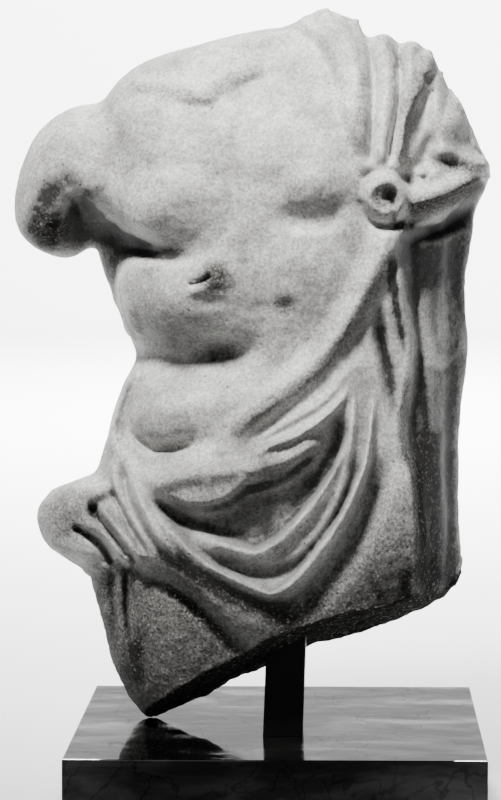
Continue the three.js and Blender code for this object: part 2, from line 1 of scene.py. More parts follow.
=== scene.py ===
"""A fragment of a marble statue on a square steel post and a polished stone block.

The torso is a merged copy of the CAD solid, divided evenly and settled on the same carved form with its
finer folds, pits and breaks. The post and the block are dressed over their CAD nodes. Lengths that
describe the carving are in millimetres, and Blender's objects are in metres.
"""
import logging
import math
from collections.abc import Callable
from dataclasses import dataclass
from enum import Enum

import bmesh
import bpy
import numpy as np
from mathutils import Matrix, Vector


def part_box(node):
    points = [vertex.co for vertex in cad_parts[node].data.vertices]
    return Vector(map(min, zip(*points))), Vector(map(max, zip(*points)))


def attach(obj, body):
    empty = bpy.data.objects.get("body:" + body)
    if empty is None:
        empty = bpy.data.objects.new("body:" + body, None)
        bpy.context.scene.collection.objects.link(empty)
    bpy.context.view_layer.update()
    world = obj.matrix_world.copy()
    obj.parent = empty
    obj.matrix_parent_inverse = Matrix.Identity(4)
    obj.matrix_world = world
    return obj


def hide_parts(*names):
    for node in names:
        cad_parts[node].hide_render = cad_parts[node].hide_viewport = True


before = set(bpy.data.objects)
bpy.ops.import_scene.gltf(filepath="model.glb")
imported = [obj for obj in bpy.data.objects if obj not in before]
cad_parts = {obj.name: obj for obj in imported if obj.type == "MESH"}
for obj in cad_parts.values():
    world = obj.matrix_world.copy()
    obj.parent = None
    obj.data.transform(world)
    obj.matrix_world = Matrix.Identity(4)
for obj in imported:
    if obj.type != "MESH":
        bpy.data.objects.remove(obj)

log = logging.getLogger("statue")
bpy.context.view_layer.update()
MM = 0.001
SEED = 41
# Corners closer than this, in metres, are one
WELD = 0.01 * MM
WHITE = "#FFFFFF"
# Keeps what something is divided by from being zero
TINY = 1e-6
# How many straight stretches each span of a curve gets
FOLD_STEPS = 5
OUTLINE_STEPS = 4
EDGE_STEPS = 12
# Large odd numbers that scatter the values of neighbouring cells of the noise
SCATTER_CELL = np.array((73856093, 19349663, 83492791))
SCATTER_SEED = 2654435761
SCATTER_KEY = 1274126177

# The front is laid out as it is seen from this point, on the upright plane y = 0
EYE = np.array((50.4, -1560.0, 513.8))
# The outline at the viewer's left, without the arm stump and the hand: x and height
LEFT_EDGE = ((-129, 631), (-140, 599), (-145, 559), (-149, 503), (-147, 459), (-141, 435), (-131, 407),
    (-121, 385), (-114, 364), (-119, 350), (-128, 330), (-135, 307), (-138, 283), (-142, 255),
    (-146, 223), (-149, 199), (-150, 181), (-145, 161), (-138, 135), (-132, 113), (-119, 87),
    (-103, 71), (-91, 59))
# The outline at the viewer's right: x and height
RIGHT_EDGE = ((113, 631), (122, 607), (134, 583), (145, 564), (154, 543), (162, 526), (168, 514),
    (165, 498), (158, 479), (155, 455), (151, 427), (150, 399), (152, 375), (150, 350), (146, 327),
    (144, 295), (144, 255), (146, 215), (146, 190), (143, 175), (129, 159), (113, 135), (97, 59))
# The worn top, from the right shoulder past the neck to the cloak: x and height
TOP_EDGE = ((-175, 543), (-143, 567), (-127, 583), (-105, 598), (-75, 608), (-46, 616), (-15, 623),
    (6, 626), (22, 632), (38, 636), (50, 630), (62, 629), (70, 616), (87, 614), (99, 609), (118, 607),
    (126, 594), (142, 570), (177, 495))
# How far the front stands forward at each height: y and height
FRONT_DEPTH = ((-24, 631), (-46.5, 591), (-67, 551), (-77, 503), (-78.5, 463), (-73.5, 415),
    (-65.5, 367), (-73.5, 319), (-81.5, 271), (-85, 215), (-81.5, 151), (-73.5, 87), (-70.5, 59))
# How far the back stands out at each height: y and height
BACK_DEPTH = ((46.5, 631), (62.5, 591), (72, 543), (73.5, 495), (70.5, 447), (61, 399), (54.5, 362),
    (62.5, 319), (73.5, 263), (75, 199), (69, 135), (61, 59))
# The break under the hips: x and height of its lowest line
BREAK_LINE = ((-190, 92), (-150, 76), (-121, 71), (-97, 73), (-68, 86), (-35, 102), (22, 127), (57, 138),
    (97, 149), (129, 167), (138, 176), (145, 187), (151, 204), (190, 280))


@dataclass(frozen=True)
class Form:
    """A carved form of the relief. Each kind gives its points, its reach round them and its height."""

    name: str


@dataclass(frozen=True)
class Fold(Form):
    """A fold of cloth along a curve, or a groove where the rise is negative.

    The width goes from the first to the second value, fade is the share of the length over which each end
    dies away, lean is the share of the width on the right-hand side of the way the curve runs, and sharp
    goes from a round crest to a keen one.
    """

    path: tuple
    rise: float
    width: tuple
    fade: tuple = (0.1, 0.1)
    lean: float = 0.5
    sharp: float = 0.0

    def points(self) -> np.ndarray:
        """Gives the fold's curve."""
        return curve_points(self.path, FOLD_STEPS)

    def reach(self) -> float:
        """Gives how far from its curve the fold can stand out."""
        return max(self.width)

    def height(self, x: np.ndarray, z: np.ndarray, points: np.ndarray) -> np.ndarray:
        """Gives the fold's height over the plain body.

        Args:
            x: Places across the drawing plane.
            z: Their heights.
            points: The fold's curve.

        Returns:
            The rise at each place.
        """
        near, share, on_right = nearest_on_curve(x, z, points)
        width = self.width[0] + (self.width[1] - self.width[0]) * share
        half = width * np.where(on_right, self.lean, 1 - self.lean)
        t = np.clip(near / np.maximum(half, TINY), 0, 1)
        rise = self.rise * ((1 - self.sharp) * (1 - t * t) ** 2 + self.sharp * (1 - t) ** 2)
        for fade, along in zip(self.fade, (share, 1 - share)):
            if fade > 0:
                rise = rise * smoothstep(0, fade, along)
        return rise


@dataclass(frozen=True)
class Bump(Form):
    """A rounded swelling, or a hollow where the rise is negative."""

    centre: tuple
    radii: tuple
    rise: float
    degrees: float = 0.0

    def points(self) -> np.ndarray:
        """Gives the swelling's centre."""
        return np.array([self.centre], float)

    def reach(self) -> float:
        """Gives how far from its centre the swelling goes."""
        return max(self.radii)

    def height(self, x: np.ndarray, z: np.ndarray, points: np.ndarray) -> np.ndarray:
        """Gives the swelling's height over the plain body.

        Args:
            x: Places across the drawing plane.
            z: Their heights.
            points: The swelling's centre.

        Returns:
            The rise at each place.
        """
        cos, sin = math.cos(math.radians(self.degrees)), math.sin(math.radians(self.degrees))
        dx, dz = x - points[0, 0], z - points[0, 1]
        along = (dx * cos + dz * sin) / self.radii[0]
        across = (-dx * sin + dz * cos) / self.radii[1]
        return self.rise * np.clip(1 - along**2 - across**2, 0, 1) ** 2


@dataclass(frozen=True)
class Plate(Form):
    """A form of its own height inside an outline, with a soft edge."""

    outline: tuple
    rise: float
    edge: float

    def points(self) -> np.ndarray:
        """Gives the closed outline."""
        return curve_points((*self.outline, self.outline[0]), OUTLINE_STEPS)

    def reach(self) -> float:
        """Gives how far outside its outline the form can stand out."""
        return self.edge

    def height(self, x: np.ndarray, z: np.ndarray, points: np.ndarray) -> np.ndarray:
        """Gives the form's height over the plain body.

        Args:
            x: Places across the drawing plane.
            z: Their heights.
            points: The closed outline.

        Returns:
            The rise at each place.
        """
        distance = nearest_on_curve(x, z, points)[0]
        inside = np.zeros(x.shape, bool)
        for (ax, az), (bx, bz) in zip(points[:-1], points[1:]):
            if az == bz:
                continue
            crosses = (az > z) != (bz > z)
            inside ^= crosses & (x < (bx - ax) * (z - az) / (bz - az) + ax)
        signed = np.where(inside, distance, -distance)
        return self.rise * smoothstep(-self.edge / 2, self.edge / 2, signed)


def smoothstep(low: float, high: float, value: np.ndarray) -> np.ndarray:
    """Goes from 0 to 1 between two limits, which may run downwards."""
    t = np.clip((value - low) / (high - low), 0, 1)
    return t * t * (3 - 2 * t)


def smooth_max(a: np.ndarray, b: np.ndarray, radius: float) -> np.ndarray:
    """Gives the larger of two values, rounded where they meet."""
    h = np.clip(0.5 + 0.5 * (a - b) / radius, 0, 1)
    return b + (a - b) * h + radius * h * (1 - h)


def smooth_min(a: np.ndarray, b: np.ndarray, radius: float) -> np.ndarray:
    """Gives the smaller of two values, rounded where they meet."""
    return -smooth_max(-a, -b, radius)


def curve_points(points: tuple, steps: int) -> np.ndarray:
    """Gives points along a smooth curve through the given ones.

    Args:
        points: The places that the curve passes.
        steps: How many stretches each span is divided into.

    Returns:
        One row per point.
    """
    given = np.array(points, float)
    ends = np.vstack([2 * given[0] - given[1], given, 2 * given[-1] - given[-2]])
    rows = []
    for i in range(len(given) - 1):
        a, b, c, d = ends[i : i + 4]
        for t in np.arange(steps) / steps:
            rows.append(0.5 * (2 * b + (c - a) * t + (2 * a - 5 * b + 4 * c - d) * t**2
                               + (3 * b - a - 3 * c + d) * t**3))
    return np.array([*rows, given[-1]])


def nearest_on_curve(x: np.ndarray, z: np.ndarray, points: np.ndarray) -> tuple:
    """Finds the nearest place of a curve.

    Args:
        x: Places across the drawing plane.
        z: Their heights.
        points: The curve.

    Returns:
        The distance, the share of the curve's length, and whether the place is on the curve's right.
    """
    runs = np.diff(points, axis=0)
    lengths = np.maximum(np.hypot(runs[:, 0], runs[:, 1]), TINY)
    travelled = np.concatenate([[0], np.cumsum(lengths)])
    best = np.full(x.shape, np.inf)
    place = np.zeros(x.shape)
    on_right = np.zeros(x.shape, bool)
    for start, run, length, before in zip(points[:-1], runs, lengths, travelled):
        dx, dz = x - start[0], z - start[1]
        along = np.clip((dx * run[0] + dz * run[1]) / length, 0, length)
        distance = np.hypot(dx - along * run[0] / length, dz - along * run[1] / length)
        closer = distance < best
        best = np.where(closer, distance, best)
        place = np.where(closer, before + along, place)
        on_right = np.where(closer, run[0] * dz - run[1] * dx < 0, on_right)
    return best, place / travelled[-1], on_right


class Relief:
    """A set of carved forms whose heights add up."""

    def __init__(self, forms: tuple) -> None:
        """Prepares each form's points and the box that it can reach.

        Args:
            forms: Folds, bumps and plates.
        """
        self.parts = []
        for form in forms:
            points = form.points()
            low, high = points.min(axis=0) - form.reach(), points.max(axis=0) + form.reach()
            self.parts.append((form, points, low, high))

    def height(self, x: np.ndarray, z: np.ndarray) -> np.ndarray:
        """Gives the relief's height at places of the drawing plane.

        Args:
            x: Places across the drawing plane.
            z: Their heights.

        Returns:
            The sum of all forms.
        """
        total = np.zeros(x.shape)
        for form, points, low, high in self.parts:
            near = (x > low[0]) & (x < high[0]) & (z > low[1]) & (z < high[1])
            if near.any():
                total[near] += form.height(x[near], z[near], points)
        return total


def value_noise(points: np.ndarray, size: float, seed: int) -> np.ndarray:
    """Makes smooth random values from -1 to 1 in space.

    Args:
        points: Places, one row each.
        size: Distance between independent values.
        seed: Which pattern.

    Returns:
        One value for each place.
    """
    cell = points / size
    low = np.floor(cell).astype(np.int64)
    t = cell - low
    t = t * t * (3 - 2 * t)
    total = np.zeros(len(points))
    for corner in range(8):
        step = np.array([corner & 1, corner >> 1 & 1, corner >> 2 & 1])
        key = ((low + step) * SCATTER_CELL).sum(axis=1) ^ (seed * SCATTER_SEED)
        key = (key ^ key >> 13) * SCATTER_KEY & 0xFFFFFFFF
        value = ((key ^ key >> 16) & 0xFFFF) / (0xFFFF / 2) - 1
        total += value * np.prod(np.where(step, t, 1 - t), axis=1)
    return total


def layered_noise(points: np.ndarray, size: float, layers: int, seed: int) -> np.ndarray:
    """Adds ever finer noise, each layer half the size and 0.55 of the strength of the one before.

    Args:
        points: Places, one row each.
        size: Distance between independent values of the first layer.
        layers: How many layers are added.
        seed: Which pattern.

    Returns:
        One value for each place.
    """
    total = np.zeros(len(points))
    for layer in range(layers):
        total += 0.55**layer * value_noise(points, size / 2**layer, seed + layer)
    return total


# The carving of the front
PLATES = (
    Plate("collar facet", ((-129, 588), (-103, 580), (-79, 575), (-58.5, 573), (-45.5, 583), (-27, 593),
        (-5.5, 601), (17, 617), (5.5, 639), (-63, 631), (-119, 607)), -3, 13),
    Plate("strap cloth", ((5.5, 630.5), (31, 615), (45.5, 588), (49.5, 561), (60, 530.5), (66.5, 511),
        (97, 510.5), (113, 527), (129, 567), (133, 615), (81, 631), (17, 647)), 6, 12),
    Plate("himation", ((90.5, 461.5), (79, 437.5), (62.5, 407), (44, 377), (21, 351), (1, 337), (-27, 319),
        (-46.5, 295), (-79, 277.5), (-110.5, 271), (-140, 295), (-191, 199), (-175, 39), (193, 39),
        (193, 407), (193, 466.5), (129, 468)), 5.5, 17),
    Plate("side drapery", ((98.5, 457), (103, 407), (108, 375), (105.5, 349.5), (101, 323), (102.5, 295),
        (109.5, 273), (113, 245), (116, 209.5), (117, 135), (193, 135), (193, 476), (129, 469.5)), -13.5,
        13),
    Plate("thigh", ((-129, 197.5), (-103, 183), (-74.5, 167), (-57, 149.5), (-31, 119), (-23, 87), (-87, 39),
        (-159, 55), (-162.5, 167)), -8, 15),
    Plate("armpit", ((-159, 484), (-140, 468), (-116, 458.5), (-103, 449), (-116, 441.5), (-126.5, 433),
        (-129.5, 407), (-126.5, 386.5), (-118.5, 365.5), (-146.5, 365.5), (-165.5, 437.5)), -22, 24),
    Plate("broken lump", ((-103, 263), (-75, 272), (-43, 276), (-21.5, 277.5), (-13.5, 268), (-26.5, 257),
        (-44, 245), (-65, 240), (-85.5, 245), (-101, 253)), 10, 14),
    Plate("deep hollow", ((-90.5, 242.5), (-65, 236), (-41, 241.5), (-21.5, 254.5), (6.5, 262.5),
        (34.5, 285.5), (45, 311), (51, 298.5), (47, 273), (34.5, 255), (17, 235), (-1, 218.5), (-17, 209.5),
        (-33, 212), (-59, 220), (-81, 229.5)), -15, 22),
    Plate("arm recess", ((121, 573.5), (109, 565), (105.5, 547), (101.5, 531), (98.5, 509.5), (117.5, 511),
        (124, 527), (122.5, 551)), -6.5, 14),
    Plate("knob disc", ((66.5, 489.5), (69.5, 503), (81, 509), (94.5, 507), (103, 497.5), (103, 485),
        (97, 474.5), (85, 470.5), (73, 475)), 8.5, 7.5),
)
BUMPS = (
    Bump("right pec", (-87, 525.5), (72, 70.5), 9, 8),
    Bump("right pec lower", (-89, 483), (62.5, 37), 11, 4),
    Bump("left pec", (21.5, 527), (59, 57.5), 9, -6),
    Bump("left pec lower", (26.5, 500), (45, 27), 4, 6),
    Bump("rib cage right", (-65, 418.5), (64, 62.5), 8.5, 8),
    Bump("rib arch", (-85.5, 404), (48, 33.5), 6, -10),
    Bump("rib cage left", (18.5, 429.5), (46.5, 43), 5.5, -20),
    Bump("waist hollow", (-66.5, 357.5), (64, 37), -8.5, -3),
    Bump("waist pit", (-39, 367), (33.5, 19), -7.5, 8),
    Bump("belly", (-58.5, 325.5), (64, 37), 7, 4),
    Bump("flank roll", (-92, 319), (33.5, 37), 8.5, 10),
    Bump("pit of the shoulder", (-132, 519), (14.5, 45), -2.5, -12),
    Bump("collar hollow", (-63, 561), (27, 12), -4, -4),
    Bump("collar hollow right", (-21.5, 578.5), (21, 13), -3.5, 24),
    Bump("left pec hollow", (-5.5, 501.5), (17.5, 19), -3),
    Bump("arm cloth", (135, 551), (24, 38.5), 6.5, -22),
    Bump("strap lump", (117.5, 596), (11, 13.5), 7),
    Bump("cloth hook", (113.5, 510.5), (6.5, 5.5), 5),
    Bump("hook hollow", (103, 504), (11, 9), -6),
    Bump("knob hole", (88, 492), (7.5, 8), -7.5),
    Bump("front mass", (97, 223), (32, 64), 11, -4),
    Bump("thigh round", (-89, 127), (49.5, 56), 6.5, -20),
    Bump("chest wound", (-52, 426.5), (21, 21), 3.5),
    Bump("under wound", (-59, 407), (21, 9.5), -1.5, -4),
    Bump("rib scar", (5.5, 404), (14.5, 12), -1.5),
    Bump("knuckle", (-145.5, 254.5), (13.5, 10.5), 6, 20),
    Bump("hand hole", (-148, 238.5), (7, 10.5), -10, 20),
    Bump("heel of the hand", (-157.5, 207), (24, 14.5), 5, -10),
    Bump("worn patch", (133.5, 393), (14.5, 35), 1.6, -4),
    Bump("stump break", (-154.5, 452), (41.5, 53), -15, -24),
)
FOLDS = (
    Fold("right pec crease", ((-143, 469.5), (-127, 457.5), (-103, 448), (-79, 445.5), (-57, 450.5),
        (-37.5, 463)), -6, (34, 34), (0.1, 0.5), 0.4),
    Fold("left pec crease", ((57, 479), (33, 471), (9, 471), (-13.5, 481)), -4, (34, 30), (0.2, 0.4), 0.6),
    Fold("sternum", ((-25.5, 559), (-22.5, 527), (-23, 483)), -1.6, (44, 40), (0.3, 0.3)),
    Fold("lat edge", ((-126.5, 437.5), (-127, 415), (-124, 393), (-114.5, 369)), 6, (16, 22), (0.25, 0.3),
        0.3, 0.3),
    Fold("flank crease", ((-117.5, 317.5), (-116, 303), (-111, 294.5), (-103, 289.5), (-93, 288), (-73, 292),
        (-50.5, 301.5)), -8, (19, 22), (0.4, 0.45), 0.32),
    Fold("hip hem", ((-111, 361), (-124, 333.5), (-132, 308), (-137, 285.5)), 4, (10, 16), (0.3, 0.2),
        sharp=0.3),
    Fold("collar lip", ((-124, 583), (-103, 577), (-79, 572), (-58.5, 569.5), (-45.5, 578.5), (-27, 589),
        (-7, 596)), 2.2, (20, 20), (0.15, 0.2), 0.42, 0.3),
    Fold("strap fold 1", ((46.5, 628), (57, 609), (64, 579), (65.5, 551), (65.5, 521)), 7, (38, 17),
        (0, 0.2), 0.64),
    Fold("strap groove 1", ((69.5, 617), (75, 587), (75, 563), (73, 539), (72, 516)), -8, (9, 8),
        (0.2, 0.1)),
    Fold("strap fold 2", ((83, 615), (86.5, 583), (84, 555), (81, 514.5)), 5, (23, 13), (0, 0.1)),
    Fold("strap groove 2", ((93.5, 610.5), (96, 581.5), (93.5, 555), (89.5, 535), (87, 515)), -8, (9, 7),
        (0.2, 0.1)),
    Fold("strap fold 3", ((105.5, 609), (105, 579), (100, 551), (96, 517.5)), 6, (22, 9), (0, 0.1),
        sharp=0.2),
    Fold("strap fold 3 edge", ((117.5, 594.5), (112, 578.5), (105, 562.5), (103, 545)), 4, (16, 8),
        (0.1, 0.3), sharp=0.2),
    Fold("arm ridge", ((116, 523), (129, 525.5), (141.5, 524), (153, 519), (167, 516)), 3.6, (22, 20),
        (0.15, 0), 0.45, 0.3),
    Fold("arm cavity", ((119, 521.5), (132, 521), (145, 516)), -1.2, (16, 14), (0.2, 0.2)),
    Fold("arm roll", ((99, 484), (121, 489), (141.5, 497.5), (164, 510.5)), 9, (26, 24), (0.12, 0.2), 0.42,
        0.3),
    Fold("arm underside", ((98.5, 466.5), (121, 466.5), (141.5, 476), (162.5, 491)), -5, (26, 30), (0.1, 0)),
    Fold("knob rim", ((85, 502.5), (75, 497.5), (73, 488), (78.5, 480), (88, 478.5), (97, 485), (97, 496),
        (89.5, 502.5), (85, 502.5)), 3.6, (11, 11), (0, 0), sharp=0.2),
    Fold("knob cleft", ((89.5, 489), (92, 481.5), (90.5, 470.5)), -5, (6, 7)),
    Fold("knob foot", ((65, 495), (66.5, 481), (76, 469.5), (90.5, 465.5), (101.5, 473)), -3, (9, 9),
        (0.2, 0.2)),
    Fold("hem roll", ((90.5, 469.5), (80, 442.5), (65.5, 411), (47, 381), (25, 353.5), (2.5, 334.5),
        (-15, 320), (-31, 305.5), (-45, 293)), 9.5, (38, 32), (0.05, 0.15), sharp=0.35),
    Fold("hem lee", ((93, 452), (85.5, 429.5), (73.5, 402.5), (59, 374.5), (40, 346.5), (17.5, 326.5),
        (-6.5, 312), (-28, 297)), -2, (24, 22), (0.12, 0.15)),
    Fold("valley ridge", ((-29.5, 285.5), (2.5, 308), (37.5, 329.5), (58.5, 359)), 2.6, (9, 9), (0.2, 0.3),
        sharp=0.3),
    Fold("third ridge", ((58.5, 345), (51, 330.5), (39, 317), (27, 308), (15, 300), (-5.5, 292),
        (-26.5, 279)), 10, (10, 20), (0.25, 0.1), 0.42, 0.6),
    Fold("lump lobe", ((-31, 268), (-13.5, 276), (9, 282.5), (34.5, 298.5)), 9, (26, 18), (0.1, 0.25),
        sharp=0.2),
    Fold("waist roll", ((-113, 271), (-95, 263), (-73, 268), (-52, 271), (-29.5, 277.5)), 5, (18, 26),
        (0.15, 0.15), 0.6, 0.3),
    Fold("swag 1", ((61.5, 335), (57, 303), (47, 277.5), (35, 256), (17.5, 233.5), (0, 216), (-17, 206.5),
        (-33, 209), (-53.5, 215), (-73, 222.5)), 14, (9, 28), (0.3, 0.12), 0.3, 0.6),
    Fold("valley fold", ((58.5, 343), (58.5, 299), (49.5, 254.5), (33, 219), (17, 197.5)), 4.5, (9, 15),
        (0.2, 0.3), sharp=0.4),
    Fold("swag 1 lee", ((61.5, 303), (57, 263), (43, 231), (23, 202.5), (-2.5, 189.5), (-31, 195),
        (-61, 208)), -5.5, (12, 22), (0.3, 0.15)),
    Fold("swag 2", ((76, 339), (73.5, 310.5), (69, 278.5), (60, 254.5), (46.5, 228), (29, 204), (12, 182.5),
        (-5, 173), (-20, 177), (-44, 188), (-65.5, 201.5), (-86.5, 223), (-102.5, 247), (-110.5, 268)), 14,
        (8, 30), (0.12, 0.2), 0.34, 0.6),
    Fold("front lee", ((86.5, 295), (81.5, 263), (73, 236), (59, 210.5), (39, 183), (19, 165.5), (4, 156)),
        -6.5, (22, 40), (0.3, 0.2)),
    Fold("outer band", ((-120, 268), (-105, 229.5), (-87, 202.5), (-65, 178.5), (-39, 160), (-13.5, 146.5),
        (17, 140)), 8, (22, 46), (0.15, 0.2), 0.46),
    Fold("band lee", ((-130.5, 202.5), (-103, 186.5), (-74.5, 169.5), (-57, 153), (-31, 127)), -8, (24, 24),
        (0.1, 0), 0.45),
    Fold("hip fold 1", ((-134.5, 287), (-129.5, 255), (-117.5, 226.5), (-100, 198.5), (-81, 178.5)), 4.5,
        (10, 16), (0.2, 0.3), sharp=0.5),
    Fold("hip groove 1", ((-126.5, 283), (-120, 251), (-105.5, 221.5), (-87, 196)), -4, (8, 10), (0.2, 0.3)),
    Fold("hip fold 2", ((-120, 277.5), (-111, 247), (-95, 217.5), (-73, 192)), 4.5, (10, 16), (0.2, 0.3),
        sharp=0.5),
    Fold("side groove", ((80, 410.5), (81, 385), (85.5, 359), (92, 333.5), (97, 307)), -8, (17, 24),
        (0.35, 0.4)),
    Fold("side ridge 1", ((95, 447), (100, 407), (105.5, 371), (101.5, 331), (97, 307)), 3, (12, 16),
        (0.2, 0.2), 0.4, 0.4),
    Fold("side ridge 2", ((113, 437.5), (117.5, 391), (121.5, 343), (125.5, 295), (127, 231), (129, 183)), 2,
        (16, 20), (0.2, 0.1)),
    Fold("front mass edge", ((103, 283), (108, 247), (111, 211), (111, 171)), 5, (13, 15), (0.2, 0), 0.75,
        0.3),
    Fold("left lobe", ((-137, 199), (-141.5, 180), (-139, 159), (-133, 137)), 3.5, (18, 12), (0.15, 0.3)),
    Fold("left strip", ((-128, 199), (-128, 159), (-124, 119)), 2, (11, 12), (0.1, 0.3)),
    Fold("left groove 2", ((-123, 194.5), (-122.5, 159), (-120, 127)), -3.5, (7, 7), (0.1, 0.3)),
    Fold("thigh band", ((-85.5, 170.5), (-81.5, 123)), 1.8, (16, 18), (0.3, 0.3)),
    Fold("finger 1", ((-162.5, 233.5), (-142.5, 222.5), (-129.5, 209), (-118.5, 193.5)), 9, (16, 11),
        (0.25, 0.05)),
    Fold("finger 2", ((-145.5, 245), (-133, 229), (-119, 211), (-108, 197.5)), 9.5, (16, 11), (0.15, 0.1)),
    Fold("finger gap", ((-146.5, 234.5), (-133.5, 218.5), (-121.5, 201)), -8, (7, 6)),
    Fold("thumb gap", ((-167, 227), (-151, 217.5), (-140, 207), (-133.5, 194.5)), -6.5, (10, 9),
        (0.15, 0.1)),
    Fold("cloth gap", ((-135, 258.5), (-126.5, 241), (-116, 220), (-105, 202.5)), -6, (8, 8), (0.15, 0.15)),
    Fold("chest gash", ((-73, 421), (-65, 422.5), (-57.5, 425.5), (-53.5, 429.5)), -5.5, (5, 6),
        (0.15, 0.15)),
    Fold("gash lip", ((-73, 414.5), (-61.5, 416), (-52, 421.5)), 1.4, (8, 8), (0.2, 0.2), sharp=0.2),
    Fold("belly nick", ((-13.5, 325.5), (-3, 330.5)), -3, (5, 5), (0.2, 0.2)),
)
# Where the stone was only tooled, or is broken or worn rough: 1 is fully rough
TOOLED = (
    Plate("thigh", ((-146.5, 197.5), (-103, 183), (-74.5, 167), (-57, 149.5), (-23, 119), (-23, 87),
        (-87, 39), (-175, 55)), 0.9, 22),
    Plate("outer band", ((-121, 211), (-91, 209), (-59, 187), (-23, 167), (33, 163), (33, 103), (-31, 111),
        (-74.5, 159)), 0.6, 30),
    Plate("front mass", ((116, 311), (93, 263), (73, 231), (41, 187), (9, 151), (-7, 103), (129, 135),
        (122.5, 247)), 0.75, 34),
    Bump("knuckles", (-165.5, 233), (37, 32), 0.8),
    Bump("stump break", (-185.5, 463), (24, 21), 1.6, -40),
    Plate("broken lump", ((-103, 263), (-75, 272), (-31, 277), (-13.5, 289.5), (17, 301), (33, 300),
        (31, 288), (3, 265.5), (-26.5, 257), (-44, 245), (-65, 240), (-85.5, 245)), 0.4, 14),
    Bump("chest wound", (-50.5, 426.5), (19, 21), 1.5),
    Bump("rib scar", (5.5, 404), (13.5, 12), 0.8),
    Bump("knob", (85, 489.5), (21, 21), 0.8),
    Fold("hem edge", ((85, 437.5), (69.5, 407), (53, 379), (31, 353), (9, 337), (-13.5, 321), (-34.5, 303)),
        0.7, (18, 18), (0, 0)),
    Fold("arm roll", ((100, 481), (121, 485), (141.5, 493.5), (162.5, 506.5)), 1.1, (28, 26)),
    Fold("arm cavity", ((122.5, 521), (138.5, 516), (156, 513)), 0.9, (16, 16)),
    Fold("collar edge", ((-127, 583), (-103, 577), (-79, 572), (-58.5, 569), (-45.5, 578.5), (-27, 589),
        (-7, 596)), 0.45, (16, 20)),
    Fold("strap edge", ((69.5, 599), (62.5, 543), (66.5, 519)), 0.5, (14, 14), (0.2, 0.1)),
    Fold("strap fold 3", ((117.5, 596), (105, 567), (100, 543), (96, 519)), 0.6, (22, 12), (0, 0.1)),
    Fold("worn side edge", ((105.5, 355), (98.5, 319), (100, 287), (109.5, 271), (113, 215), (114.5, 175)),
        0.6, (14, 14)),
)
